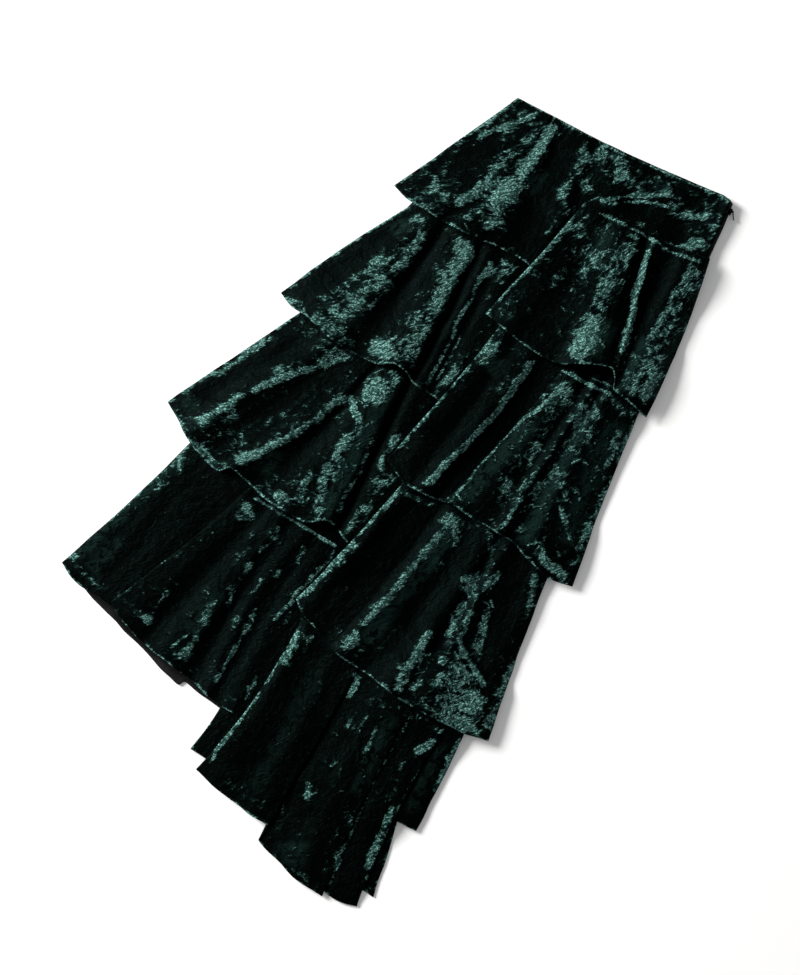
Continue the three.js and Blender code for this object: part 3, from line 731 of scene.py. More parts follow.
BACK["tier_4_back"] = dict(
    seam=[[-328, -572], [-160, -606], [151, -714]],
    folds=[
        ["side", -321, -356, -395, -786, 0, 0, 0],
        ["hollow_1", -286, -318, -352, -804, 0, 0, 0],
        ["ridge_1", -250, -280, -310, -818.5, 1, 3, 2.5],
        ["hollow_2", -214, -240, -256, -835.5, 0, 0, 0],
        ["ridge_2", -180, -200, -214, -851, 1, 3, 2.5],
        ["end_low", -166, -180, -197, -855.5, 0.5, 1, 0.5],
        ["hollow_3", -142, -160, -190, -848, 0, 0, 0],
        ["under_3", -120, -130, -150, -856, 0, 1, 1],
        ["ridge_3", -92, -98, -104, -859, 1, 3, 3.5],
        ["hollow_4", -40, -42, -44, -866, 0, 0, 0],
        ["ridge_4", 14, 14, 16, -872, 1, 3, 3],
        ["hollow_5", 64, 64, 66, -876, 0, 0, 0],
        ["ridge_5", 108, 108, 110, -878, 1, 2, 2],
        ["side_right", 151, 152.4, 152.5, -879, 0, 0, 0],
    ],
)
BACK["tier_5_back"] = dict(
    seam=[[-134, -836], [124, -858]],
    folds=[
        ["side", -133, -136, -141.5, -916, 0, 0, 0],
        ["hollow_1", -98, -100, -104, -930, 0, 0, 0],
        ["ridge_1", -56, -58, -60, -944, 1, 2, 2.5],
        ["hollow_2", -10, -10, -8, -960, 0, 0, 0],
        ["ridge_2", 40, 42, 46, -970, 1, 2, 2.5],
        ["hollow_3", 84, 88, 94, -977, 0, 0, 0],
        ["side_right", 124, 136, 145.5, -981, 0, 0, 0],
    ],
)
BASE = dict(
    seam=[[-187, -99], [146, -99]],
    folds=[
        ["side", -186, -262, -322, -606, 0, 0, 0],
        ["hollow_1", -132, -178, -214, -636, 0, 0, 0],
        ["hollow_2", -76, -96, -106, -668, 0, 0.4, 0.4],
        ["hollow_3", -20, -22, -24, -700, 0, 0, 0],
        ["hollow_4", 36, 38, 40, -718, 0, 0.4, 0.4],
        ["hollow_5", 92, 92, 92, -736, 0, 0, 0],
        ["side_right", 146, 148, 140, -752, 0, 0, 0],
    ],
)

# ---- creases laid on the tiers -------------------------------------------------------------------------------------
# line from the waist side down; height; how much the pile lies over (above 0), with painted highlight, or stands away
# (below 0), with painted shade;
# width to the right of the line; width to its left
CREASE = ["line", "height", "lie", "right", "left"]
CREASES = {
    "yoke_front": [
        [[(-150, -6), (-135, -20)], 0, 0.3, 8, 8],
        [[(-122, -4), (-140, -25), (-165, -50), (-182, -75)], 2.2, 0.45, 3, 4],
        [[(-112, -8), (-135, -32), (-160, -52)], 1.2, 0.35, 3, 3],
        [[(-150, -60), (-190, -110), (-215, -160)], 0, -0.25, 12, 10],
        [[(-100, -5), (-104, -40), (-106, -80), (-108, -105)], 0.8, 0.45, 7, 8],
        [[(-104, -95), (-112, -125), (-125, -150)], 0.8, 0.4, 9, 16],
        [[(-104, -90), (-130, -120), (-155, -140), (-165, -160)], 1.2, 0.35, 8, 12],
        [[(-112, -60), (-122, -95)], 1.0, 0.25, 4, 6],
        [[(-190, -100), (-197, -130), (-205, -165)], 0.8, 0.4, 6, 6],
        [[(-86, -10), (-78, -70), (-72, -120), (-75, -175)], -1.5, -0.6, 16, 12],
        [[(-55, -60), (-48, -100), (-50, -150)], 0.9, 0.35, 7, 7],
        [[(-50, -8), (-46, -35), (-35, -58), (-22, -75)], 1.2, 0.42, 9, 9],
        [[(-30, -8), (-28, -30)], 0.5, 0.2, 8, 8],
        [[(-5, -6), (0, -20), (8, -38)], 0.8, 0.42, 13, 10],
        [[(15, -14), (30, -4)], 0.4, 0.25, 6, 6],
        [[(-8, -75), (12, -57), (35, -40), (58, -28), (80, -19)], 2.4, 0.55, 2.4, 2.4],
        [[(2, -72), (22, -58), (42, -45), (62, -38), (80, -36)], 1.4, 0.45, 2.2, 2.2],
        [[(8, -60), (28, -47), (48, -36)], -1.6, -0.5, 1.8, 1.8],
        [[(45, -25), (75, -15)], 0.5, 0.25, 7, 7],
        [[(88, -43), (112, -30), (135, -18)], 0.8, 0.4, 5, 5],
        [[(140, -22), (145, -50), (150, -62)], 0.5, 0.3, 8, 8],
        [[(10, -64), (60, -54), (105, -60), (115, -75)], -1.2, -0.6, 9, 9],
        [[(105, -76), (125, -66), (142, -52)], 1.0, 0.45, 5, 5],
        [[(45, -74), (60, -70)], 0.5, 0.3, 4, 4],
        [[(-150, 0), (-60, -2), (0, -1.5), (80, 3.5), (133, 7.5), (148, 3.5)], 0, 0.35, 1.8, 1.8],
        [[(-103, -5), (-103, -60), (-106, -110), (-112, -165)], 0, 0.32, 15, 12],
        [[(-38, -6), (-30, -25)], 0, 0.3, 9, 9],
        [[(-12, -5), (-8, -22)], 0, 0.25, 9, 9],
        [[(28, -8), (28, -60)], 0, 0.3, 11, 11],
        [[(80, -12), (82, -50)], 0, 0.3, 10, 10],
        [[(142, -8), (143, -60)], 0, -0.1, 7, 7],
        [[(-190, -85), (-203, -165)], 0, 0.08, 9, 9],
        [[(20, -76), (90, -77), (150, -72)], 0, 0.3, 1.8, 1.8],
        [[(-170, -110), (-155, -150)], 0, -0.3, 12, 12],
        [[(-56, -105), (-52, -178)], 0, -0.4, 13, 12],
        [[(-118, -25), (-130, -85), (-150, -135), (-168, -165)], 0, 0.33, 8, 8],
        [[(-90, -12), (-90, -68)], 0, 0.3, 4, 4],
        [[(5, -16), (8, -48)], 0, 0.3, 9, 9],
        [[(-38, -88), (-36, -112)], 0, 0.25, 7, 7],
        [[(-95, -150), (-70, -176)], 0, 0.2, 12, 12],
        [[(-134, -22), (-132, -45)], 0, -0.5, 8, 8],
        [[(-56, -95), (-42, -108)], 0, -0.5, 8, 8],
        [[(-130, -165), (-110, -160), (-92, -150)], 0, 0.4, 9, 9],
        [[(-178, -165), (-184, -150)], 0, 0.3, 8, 8],
        [[(-42, -25), (-30, -35)], 0, 0.35, 7, 7],
    ],
    "tier_1_right": [
        [[(-8, -104), (-28, -125), (-38, -165)], 0.8, 0.3, 4, 6],
        [[(60, -95), (52, -118), (48, -140)], 0.8, 0.4, 16, 14],
        [[(50, -140), (50, -170), (54, -200)], 0.8, 0.5, 13, 9],
        [[(56, -195), (58, -235), (52, -268)], 0, 0.5, 16, 12],
        [[(80, -200), (85, -250)], 0, -0.1, 9, 9],
        [[(66, -85), (72, -120), (80, -170), (92, -210), (98, -240)], -2.2, -0.5, 4, 4],
        [[(76, -90), (80, -120), (87, -150), (98, -180), (105, -205), (108, -235)], 1.6, 0.5, 4, 4],
        [[(90, -95), (97, -115), (100, -130)], 1.0, 0.35, 3, 3],
        [[(112, -85), (115, -130), (115, -160), (113, -185)], -1.5, -1.0, 12, 12],
        [[(148, -85), (150, -150), (148, -200), (146, -275)], 0, 0.36, 26, 23],
        [[(-20, -200), (0, -265)], 0, -0.15, 25, 25],
        [[(10, -95), (15, -175)], 0, 0.22, 18, 18],
        [[(62, -140), (88, -136)], 0, 0.2, 10, 10],
        [[(80, -95), (86, -150), (95, -200), (102, -246)], 0, 0.25, 4, 4],
        [[(-8, -84), (60, -82), (105, -86), (150, -79)], 0, 0.4, 1.8, 1.8],
        [[(118, -100), (119, -170), (119, -225)], 0, -0.5, 6, 6],
        [[(158, -222), (159, -280)], 0, 0.3, 9, 9],
        [[(132, -92), (133, -200)], 0, 0.2, 4, 4],
        [[(26, -118), (30, -152)], 0, 0.25, 7, 7],
        [[(90, -105), (94, -125)], 0, -0.5, 7, 7],
        [[(40, -88), (66, -96)], 0, 0.4, 6, 6],
        [[(36, -140), (62, -142)], 0, 0.4, 6, 6],
        [[(-6, -160), (-2, -215)], 0, 0.25, 8, 8],
        [[(30, -230), (24, -238)], 0, -0.5, 7, 7],
        [[(-38, -228), (-28, -234)], 0, -0.5, 7, 7],
    ],
    "tier_2_left": [
        [[(-215, -195), (-235, -250), (-262, -310), (-285, -350)], 0, -0.3, 12, 20],
        [[(-183, -200), (-187, -240), (-196, -278)], 1.2, 0.5, 7, 7],
        [[(-198, -268), (-212, -310), (-232, -362)], 0.8, 0.45, 15, 18],
        [[(-196, -188), (-200, -200)], 0, 0.3, 8, 8],
        [[(-164, -190), (-163, -260), (-172, -320), (-180, -345)], -1.0, -0.6, 9, 9],
        [[(-170, -345), (-160, -375)], 0.8, 0.5, 13, 13],
        [[(-130, -185), (-126, -240), (-128, -300)], 0.8, 0.5, 11, 14],
        [[(-130, -290), (-134, -335), (-136, -372)], 0.6, 0.45, 12, 12],
        [[(-152, -225), (-146, -260)], 0.8, 0.25, 6, 6],
        [[(-104, -192), (-103, -260), (-102, -380)], -1.5, -0.9, 5, 6],
        [[(-92, -192), (-93, -300), (-92, -382)], 1.0, 0.45, 3, 3],
        [[(-84, -280), (-84, -372)], 0.8, 0.35, 2.6, 2.6],
        [[(-82, -188), (-68, -200), (-55, -192)], 0.8, 0.4, 6, 6],
        [[(-75, -210), (-62, -220)], 0.5, 0.25, 8, 8],
        [[(-75, -240), (-75, -310)], 0, -0.4, 8, 12],
        [[(-72, -330), (-68, -350), (-75, -375)], 0.8, 0.45, 6, 6],
        [[(-264, -362), (-230, -369), (-190, -376)], 0, 0.35, 8, 8],
        [[(-222, -200), (-252, -255), (-279, -315)], 0, 0.12, 3.5, 3.5],
        [[(-230, -260), (-250, -310), (-280, -358)], 0, -0.35, 10, 10],
        [[(-118, -190), (-117, -235)], 0, 0.35, 4, 4],
        [[(-118, -342), (-120, -372)], 0, 0.35, 6, 6],
        [[(-203, -240), (-230, -280), (-249, -315), (-266, -352)], 0, 0.38, 8, 8],
        [[(-86, -200), (-86, -225)], 0, 0.35, 5, 5],
        [[(-232, -262), (-262, -312), (-286, -352)], 0, -0.55, 9, 9],
        [[(-208, -245), (-222, -235)], 0, -0.3, 8, 8],
        [[(-80, -260), (-80, -290)], 0, -0.5, 8, 8],
        [[(-204, -305), (-212, -318)], 0, -0.4, 7, 7],
    ],
    "tier_3_left": [
        [[(-255, -392), (-288, -440), (-318, -490), (-345, -530)], 0, -0.4, 15, 15],
        [[(-185, -384), (-206, -400), (-227, -422), (-250, -443), (-272, -466), (-288, -490)], 2.2, 0.5, 5, 4],
        [[(-284, -484), (-300, -508), (-316, -532), (-330, -556)], 1.8, 0.45, 6, 5],
        [[(-300, -520), (-285, -548)], 0.8, 0.2, 7, 7],
        [[(-330, -566), (-300, -582), (-278, -590)], 0.6, 0.4, 5, 5],
        [[(-262, -430), (-268, -470)], 0.5, 0.2, 5, 5],
        [[(-142, -462), (-156, -447), (-171, -434), (-184, -446), (-191, -468)], 2.0, 0.6, 5, 5],
        [[(-188, -458), (-195, -478), (-206, -500), (-218, -520), (-238, -545), (-259, -572)], 2.2, 0.6, 5.5, 5],
        [[(-250, -556), (-262, -575)], 0.8, 0.4, 7, 7],
        [[(-172, -470), (-188, -510), (-205, -560)], -1.0, -0.45, 10, 10],
        [[(-148, -385), (-146, -410), (-140, -432)], 0.8, 0.45, 15, 15],
        [[(-138, -440), (-140, -500)], 0.6, 0.2, 9, 9],
        [[(-150, -470), (-153, -515), (-158, -560)], 1.0, 0.45, 7, 6],
        [[(-168, -535), (-174, -575)], 0.8, 0.4, 5, 5],
        [[(-145, -545), (-146, -592)], 0.8, 0.4, 7, 8],
        [[(-190, -574), (-195, -594)], 0.8, 0.45, 10, 8],
        [[(-110, -390), (-107, -590)], -2.0, -0.9, 6, 7],
        [[(-94, -440), (-96, -480)], 0.8, 0.4, 6, 6],
        [[(-85, -500), (-90, -540), (-98, -590)], 0.8, 0.3, 10, 8],
        [[(-292, -405), (-315, -450), (-338, -496)], 0, 0.4, 5, 5],
        [[(-222, -386), (-205, -380), (-190, -384)], 0, 0.3, 6, 6],
        [[(-240, -468), (-262, -518), (-285, -555)], 0, 0.22, 12, 12],
        [[(-224, -440), (-236, -470), (-254, -498), (-270, -525)], 0, -0.35, 7, 7],
        [[(-164, -468), (-176, -500), (-190, -530)], 0, -0.5, 10, 10],
        [[(-160, -552), (-165, -592)], 0, 0.4, 6, 8],
        [[(-143, -505), (-142, -545)], 0, 0.3, 4, 4],
        [[(-116, -475), (-117, -578)], 0, 0.5, 5, 5],
        [[(-160, -378), (-136, -381), (-123, -398), (-121, -420)], 0, 0.4, 6, 6],
        [[(-100, -385), (-101, -445)], 0, -0.5, 7, 7],
        [[(-128, -466), (-105, -478), (-96, -492), (-84, -498)], 0, 0.45, 5, 5],
        [[(-192, -390), (-214, -401), (-236, -418)], 0, 0.35, 5, 5],
        [[(-160, -384), (-185, -396)], 0, -0.35, 8, 8],
        [[(-186, -392), (-200, -402), (-186, -412)], 0, -0.6, 9, 9],
        [[(-170, -470), (-184, -495), (-198, -518)], 0, -0.6, 9, 9],
        [[(-188, -378), (-210, -388), (-230, -405)], 0, 0.45, 5, 5],
        [[(-277, -490), (-296, -512)], 0, -0.6, 8, 8],
        [[(-295, -530), (-285, -515)], 0, 0.35, 7, 7],
        [[(-345, -530), (-352, -545)], 0, -0.4, 10, 10],
        [[(-118, -385), (-116, -420)], 0, -0.6, 8, 8],
        [[(-65, -498), (-90, -505)], 0, 0.4, 7, 7],
    ],
    "tier_4_left": [
        [[(-242, -652), (-262, -690), (-285, -725), (-303, -760), (-317, -795)], 0.5, 0.2, 1.5, 1.5],
        [[(-222, -602), (-225, -620), (-234, -640)], 0.8, 0.55, 8, 6],
        [[(-212, -785), (-222, -805), (-230, -828)], 0.8, 0.45, 1.8, 1.8],
        [[(-174, -610), (-177, -640), (-183, -668)], 1.2, 0.5, 5, 5],
        [[(-187, -668), (-188, -700), (-190, -748)], 0.8, 0.5, 5, 5],
        [[(-134, -620), (-137, -654)], 1.2, 0.5, 5, 5],
        [[(-148, -662), (-151, -690)], 1.0, 0.45, 4.5, 4.5],
        [[(-153, -712), (-154, -760), (-156, -800)], 1.0, 0.45, 4, 4],
        [[(-156, -770), (-157, -838)], 1.0, 0.5, 3, 3],
        [[(-99, -605), (-104, -640), (-112, -672), (-121, -700), (-129, -735)], 1.2, 0.55, 4, 4],
        [[(-118, -690), (-124, -720)], 0.8, 0.35, 2.4, 2.4],
        [[(-113, -790), (-117, -840)], 1.0, 0.4, 3, 3],
        [[(-198, -832), (-180, -832)], 0, 0.45, 5, 5],
        [[(-330, -585), (-328, -620)], 0.4, 0.25, 7, 7],
        [[(-386, -765), (-392, -782)], 0, 0.35, 5, 5],
        [[(-228, -600.5), (-150, -605), (-96, -609)], 0.6, 0.85, 1.9, 1.9],
        [[(-320, -588), (-332, -640), (-342, -690)], 0, 0.3, 9, 9],
        [[(-285, -610), (-300, -700), (-335, -765)], 0, -0.4, 12, 11],
        [[(-218, -602), (-214, -636)], 0, 0.5, 9, 8],
        [[(-195, -604), (-197, -640)], 0, -0.4, 6, 6],
        [[(-112, -700), (-113, -745)], 0, 0.4, 6, 6],
        [[(-110, -800), (-112, -838)], 0, 0.35, 4, 4],
        [[(-390, -779), (-350, -790), (-300, -794), (-262, -802), (-240, -815)], 0, 0.3, 6, 6],
        [[(-228, -818), (-190, -818)], 0, 0.45, 12, 10],
        [[(-150, -595), (-100, -599)], 0, -0.9, 6, 6],
        [[(-292, -622), (-316, -670), (-330, -725), (-340, -765)], 0, -0.6, 12, 12],
        [[(-216, -640), (-232, -700), (-246, -760), (-256, -815)], 0, -0.5, 10, 9],
        [[(-196, -650), (-206, -700)], 0, 0.3, 5, 5],
        [[(-206, -730), (-206, -790), (-208, -832)], 0, 0.5, 6, 6],
        [[(-256, -730), (-266, -780), (-272, -818)], 0, 0.4, 5, 5],
        [[(-164, -680), (-168, -720)], 0, 0.35, 4, 4],
        [[(-148, -760), (-146, -820)], 0, -0.35, 5, 5],
    ],
    "tier_2_right": [
        [[(-38, -278), (-42, -330)], 0, 0.4, 9, 8],
        [[(-20, -340), (-35, -400), (-55, -480)], 0, -0.7, 20, 20],
        [[(24, -284), (12, -289)], 0, 0.3, 5, 5],
        [[(14, -284), (9, -312), (4, -340), (0, -370), (-8, -400), (-18, -432), (-29, -465), (-36, -492)], 1.6, 0.8, 4.5, 4.5],
        [[(32, -300), (12, -400), (-8, -480)], 0, -0.8, 11, 9],
        [[(62, -285), (52, -320), (40, -350), (30, -375), (22, -400), (15, -430), (5, -470), (0, -490)],
         0, 0.5, 2, 1.6],
        [[(70, -285), (72, -330)], 0.6, 0.3, 9, 7],
        [[(68, -370), (66, -392)], 0.6, 0.3, 6, 6],
        [[(55, -430), (58, -462)], 0.6, 0.2, 9, 9],
        [[(90, -338), (93, -312), (104, -298), (114, -303), (118, -340), (118, -388)], 1.2, 0.25, 4, 4],
        [[(100, -315), (96, -345)], 0.8, 0.4, 4, 5],
        [[(102, -302), (101, -345), (96, -400), (93, -450), (90, -498)], 0.6, 0.5, 7, 7],
        [[(80, -440), (77, -465), (74, -498)], 0.8, 0.35, 2.5, 2.5],
        [[(140, -300), (150, -500)], 0, 0.12, 30, 20],
        [[(122, -425), (142, -450), (165, -475)], 0.6, 0.3, 3, 3],
        [[(130, -400), (150, -420)], 0.6, 0.25, 5, 5],
        [[(125, -498), (150, -506), (182, -509)], 0, 0.4, 8, 6],
        [[(150, -275), (163, -300), (166, -345)], 0.6, 0.4, 6, 6],
        [[(168, -380), (175, -460)], 0.6, 0.35, 5, 5],
        [[(55, -264), (85, -266), (118, -264)], 0, -1.0, 14, 10],
        [[(46, -281.5), (85, -281), (124, -280)], 1.0, 1.3, 1.7, 1.7],
        [[(85, -274), (105, -271), (122, -271)], 0.6, 1.5, 1.4, 1.4],
        [[(-12, -285), (-22, -345)], 0, -0.5, 8, 8],
        [[(68, -288), (68, -340), (62, -390), (55, -430), (50, -475)], 0, 0.33, 12, 12],
        [[(80, -350), (78, -400)], 0, -0.2, 5, 5],
        [[(116, -284), (135, -289), (150, -300)], 0, 0.35, 8, 8],
        [[(150, -305), (156, -372)], 0, 0.35, 5, 5],
        [[(163, -420), (172, -460), (181, -505)], 0, 0.35, 6, 6],
        [[(132, -388), (148, -418)], 0, -0.35, 10, 10],
        [[(126, -408), (127, -432)], 0, 0.35, 5, 5],
        [[(-84, -462), (-74, -480), (-60, -488)], 0, -1.1, 13, 13],
        [[(125, -504), (150, -510), (182, -511)], 0, 0.35, 5, 5],
        [[(64, -415), (60, -440)], 0, -0.3, 8, 8],
        [[(22, -420), (20, -470)], 0, -0.35, 8, 8],
        [[(78, -330), (80, -375)], 0, -0.35, 6, 6],
        [[(110, -385), (116, -420)], 0, 0.25, 6, 6],
        [[(108, -486), (140, -500)], 0, 0.3, 7, 7],
    ],
    "tier_3_right": [
        [[(-62, -503), (-75, -540), (-85, -585)], 0, 0.55, 5, 6],
        [[(-84, -585), (-92, -620), (-100, -650), (-110, -690)], 0, 0.5, 4, 3],
        [[(-40, -510), (-55, -580), (-70, -650), (-75, -690)], 0, -0.6, 22, 14],
        [[(-15, -520), (-40, -620), (-60, -700)], 0, -0.6, 18, 18],
        [[(12, -505), (5, -540), (-1, -580)], 1.6, 0.6, 9, 3],
        [[(-1, -575), (-10, -615), (-18, -650), (-26, -685)], 1.6, 0.6, 5, 2.6],
        [[(-26, -685), (-30, -705), (-35, -722)], 1.2, 0.6, 8, 5],
        [[(30, -508), (28, -525), (22, -545)], 0.6, 0.35, 14, 10],
        [[(22, -562), (26, -585)], 0.8, 0.3, 10, 10],
        [[(45, -560), (42, -620), (28, -700)], -1.0, -0.7, 11, 12],
        [[(70, -510), (80, -530)], 0.5, 0.25, 8, 8],
        [[(62, -562), (76, -583)], 1.0, 0.4, 11, 11],
        [[(96, -535), (92, -580)], 1.0, 0.45, 5, 5],
        [[(75, -590), (73, -620), (77, -655)], 1.2, 0.5, 4, 4],
        [[(88, -590), (90, -640), (102, -655), (128, -668), (152, -682)], 1.4, 0.5, 3.5, 3.5],
        [[(55, -640), (52, -662), (50, -700), (48, -740)], 1.0, 0.55, 9, 6],
        [[(82, -668), (84, -682)], 0.6, 0.4, 7, 7],
        [[(20, -690), (24, -738)], 0, -0.4, 14, 14],
        [[(75, -725), (82, -742)], 0, 0.35, 10, 10],
        [[(112, -664), (114, -700), (112, -742)], 0.6, 0.5, 22, 14],
        [[(140, -682), (145, -742)], 0.4, 0.5, 14, 16],
        [[(115, -515), (125, -570), (135, -640)], 0, -0.5, 16, 16],
        [[(115, -605), (121, -648)], 0.6, 0.35, 4, 5],
        [[(135, -508), (142, -530), (150, -556), (157, -590)], 1.2, 0.3, 4, 4],
        [[(160, -560), (164, -620)], 0, -0.3, 8, 8],
        [[(162, -630), (168, -680), (175, -735)], 0.8, 0.6, 6, 6],
        [[(-66, -507), (-30, -505), (40, -511), (85, -507)], 0, 0.35, 6, 6],
        [[(-50, -535), (-20, -538)], 0, 0.3, 6, 6],
        [[(50, -520), (50, -592)], 0, -0.35, 10, 10],
        [[(72, -545), (72, -610)], 0, 0.3, 5, 5],
        [[(106, -572), (112, -620), (118, -660)], 0, 0.35, 13, 13],
        [[(64, -655), (64, -700)], 0, 0.15, 5, 5],
        [[(95, -645), (100, -680)], 0, 0.3, 8, 8],
        [[(-16, -700), (-13, -726)], 0, 0.4, 8, 8],
        [[(80, -736), (130, -739), (178, -733)], 0, 0.4, 6, 6],
        [[(142, -515), (150, -560), (156, -600)], 0, 0.2, 6, 6],
        [[(52, -500), (44, -560), (40, -610), (36, -660)], 0, -1.0, 10, 10],
        [[(86, -685), (92, -712)], 0, 0.3, 8, 8],
        [[(-14, -500), (8, -512)], 0, -0.45, 9, 9],
        [[(82, -522), (95, -528)], 0, -0.45, 8, 8],
        [[(15, -680), (22, -735)], 0, -0.5, 9, 9],
        [[(-85, -706), (-55, -724), (-35, -736)], 0, -0.7, 7, 7],
        [[(66, -690), (68, -735)], 0, 0.45, 6, 6],
        [[(104, -600), (116, -625)], 0, 0.4, 7, 7],
        [[(-50, -535), (-20, -540)], 0, 0.3, 8, 8],
    ],
    "tier_4_right": [
        [[(-92, -716), (-92, -745), (-95, -778)], 0.8, 0.6, 9, 6],
        [[(-72, -717), (-84, -735)], 0.6, 0.35, 6, 6],
        [[(-98, -785), (-101, -805)], 0.6, 0.5, 3, 3],
        [[(-104, -820), (-108, -850), (-113, -890), (-119, -930)], 0.6, 0.35, 2, 2],
        [[(-70, -790), (-75, -860), (-85, -940)], 0, -0.25, 14, 14],
        [[(-8, -735), (0, -748), (3, -776)], 1.4, 0.8, 4, 3],
        [[(-12, -742), (8, -742)], 0.6, 0.5, 3, 3],
        [[(17, -775), (16, -812)], 0.9, 0.4, 3.2, 3.2],
        [[(32, -770), (31, -790), (36, -812)], 0.9, 0.4, 4.5, 4.5],
        [[(48, -778), (51, -800), (50, -832)], 0.9, 0.65, 3, 3],
        [[(20, -845), (22, -862)], 0.8, 0.3, 4, 4],
        [[(4, -885), (10, -900), (18, -914)], 0.8, 0.55, 5, 5],
        [[(62, -840), (58, -880)], 0.6, 0.3, 5, 5],
        [[(80, -748), (79, -850), (80, -900), (83, -950), (87, -1003)], 0, 0.3, 2, 2],
        [[(95, -870), (99, -995)], 0, -0.8, 10, 8],
        [[(128, -762), (114, -780), (103, -802)], 1.0, 0.65, 6, 6],
        [[(122, -800), (121, -850), (124, -950)], 0.9, 0.3, 2.4, 2.4],
        [[(-105, -815), (-111, -870), (-119, -932)], 0, 0.22, 1.8, 1.8],
        [[(-74, -722), (-76, -765)], 0, 0.35, 6, 6],
        [[(-15, -748), (-18, -870)], 0, 0.15, 10, 10],
        [[(43, -745), (44, -790)], 0, 0.3, 6, 6],
        [[(60, -756), (100, -751), (127, -756)], 0, 0.35, 7, 7],
        [[(102, -800), (104, -872)], 0, 0.35, 6, 6],
        [[(20, -884), (18, -906)], 0, 0.3, 5, 5],
        [[(70, -885), (75, -992)], 0, 0.28, 9, 9],
        [[(-8, -915), (-6, -972)], 0, 0.35, 9, 7],
        [[(28, -990), (60, -998), (84, -999)], 0, 0.35, 6, 6],
        [[(-100, -930), (-60, -940), (-25, -946)], 0, 0.3, 7, 7],
        [[(118, -935), (123, -980)], 0, 0.35, 6, 6],
        [[(112, -860), (116, -920), (120, -960)], 0, 0.6, 5, 5],
        [[(82, -930), (86, -975)], 0, 0.5, 6, 6],
        [[(-80, -880), (-86, -930)], 0, -0.5, 8, 8],
    ],
    "tier_4_side": [
        [[(148, -745), (149, -835)], 0.6, 0.6, 5, 4],
    ],
    # the back, which is out of sight as the garment lies: the same kind of creases, seen from below as soft troughs
    "yoke_back": [
        [[(-128, -8), (-134, -50), (-146, -92)], 0.6, 0.6, 8, 6],
        [[(-104, -6), (-112, -60), (-118, -92)], 0, -0.5, 8, 9],
        [[(-76, -6), (-72, -40), (-84, -90)], 1.0, 0.75, 9, 12],
        [[(-44, -10), (-50, -45), (-48, -88)], 0, -0.6, 10, 8],
        [[(-18, -30), (-8, -60), (-12, -92)], 0.6, 0.45, 6, 6],
        [[(26, -5), (20, -40), (34, -70), (40, -92)], 1.2, 0.7, 10, 7],
        [[(62, -8), (66, -60), (64, -92)], 0, -0.55, 12, 10],
        [[(96, -10), (90, -50), (102, -90)], 0.8, 0.6, 7, 9],
        [[(130, -12), (132, -60), (136, -92)], 0, 0.35, 6, 6],
    ],
    "tier_1_back": [
        [[(-178, -100), (-190, -135), (-208, -170)], 0.8, 0.5, 8, 8],
        [[(-150, -98), (-156, -140), (-168, -186)], 1.2, 0.75, 7, 6],
        [[(-130, -98), (-138, -150), (-144, -194)], 0, -0.6, 8, 8],
        [[(-100, -98), (-106, -140), (-98, -170), (-112, -204)], 0.8, 0.45, 13, 10],
        [[(-62, -98), (-54, -135), (-60, -180), (-70, -218)], 1.4, 0.8, 6, 5],
        [[(-30, -100), (-34, -160), (-40, -228)], 0, -0.7, 11, 10],
        [[(6, -98), (14, -150), (8, -200), (14, -244)], 1.2, 0.65, 11, 8],
        [[(44, -112), (52, -180), (56, -250)], 0, -0.55, 12, 9],
        [[(84, -98), (94, -150), (96, -205), (106, -266)], 1.6, 0.85, 5, 6],
        [[(124, -100), (128, -170), (140, -274)], 0.6, 0.4, 14, 9],
        [[(150, -110), (158, -190), (166, -276)], 0, -0.4, 6, 6],
    ],
    "tier_2_back": [
        [[(-230, -212), (-256, -270), (-286, -352)], 0.8, 0.5, 9, 8],
        [[(-196, -190), (-218, -250), (-242, -310), (-252, -364)], 1.4, 0.8, 12, 8],
        [[(-168, -190), (-182, -260), (-212, -372)], 0, -0.65, 12, 12],
        [[(-132, -190), (-140, -250), (-152, -300), (-172, -388)], 1.0, 0.7, 8, 6],
        [[(-104, -190), (-112, -270), (-130, -330)], 0, -0.5, 9, 9],
        [[(-86, -190), (-78, -260), (-92, -330), (-100, -416)], 1.2, 0.5, 10, 12],
        [[(-46, -204), (-40, -290), (-52, -370), (-56, -432)], 1.6, 0.85, 6, 7],
        [[(-12, -216), (-14, -320), (-20, -448)], 0, -0.75, 12, 10],
        [[(34, -232), (28, -300), (40, -380), (42, -470)], 1.0, 0.6, 12, 9],
        [[(76, -246), (72, -330), (82, -410), (84, -482)], 1.4, 0.75, 5, 6],
        [[(104, -250), (108, -350), (112, -490)], 0, -0.5, 9, 9],
        [[(138, -262), (144, -350), (150, -430), (160, -506)], 0.8, 0.6, 14, 8],
        [[(10, -440), (40, -452), (70, -462)], 0, 0.35, 9, 9],
    ],
    "tier_3_back": [
        [[(-290, -395), (-318, -460), (-346, -544)], 0.8, 0.45, 8, 8],
        [[(-250, -382), (-276, -440), (-292, -500), (-306, -562)], 1.4, 0.8, 8, 10],
        [[(-222, -384), (-244, -460), (-276, -572)], 0, -0.6, 12, 10],
        [[(-186, -388), (-204, -450), (-214, -520), (-238, -586)], 1.0, 0.65, 12, 9],
        [[(-148, -394), (-158, -470), (-184, -540), (-190, -608)], 1.6, 0.85, 6, 5],
        [[(-116, -400), (-128, -500), (-152, -620)], 0, -0.7, 12, 12],
        [[(-78, -412), (-82, -500), (-96, -570), (-92, -644)], 1.0, 0.55, 14, 9],
        [[(-36, -426), (-30, -520), (-44, -600), (-42, -664)], 1.4, 0.75, 6, 7],
        [[(-4, -440), (0, -560), (4, -680)], 0, -0.6, 10, 11],
        [[(36, -452), (30, -540), (46, -620), (44, -696)], 1.2, 0.7, 12, 7],
        [[(78, -466), (84, -570), (92, -710)], 0, -0.5, 10, 8],
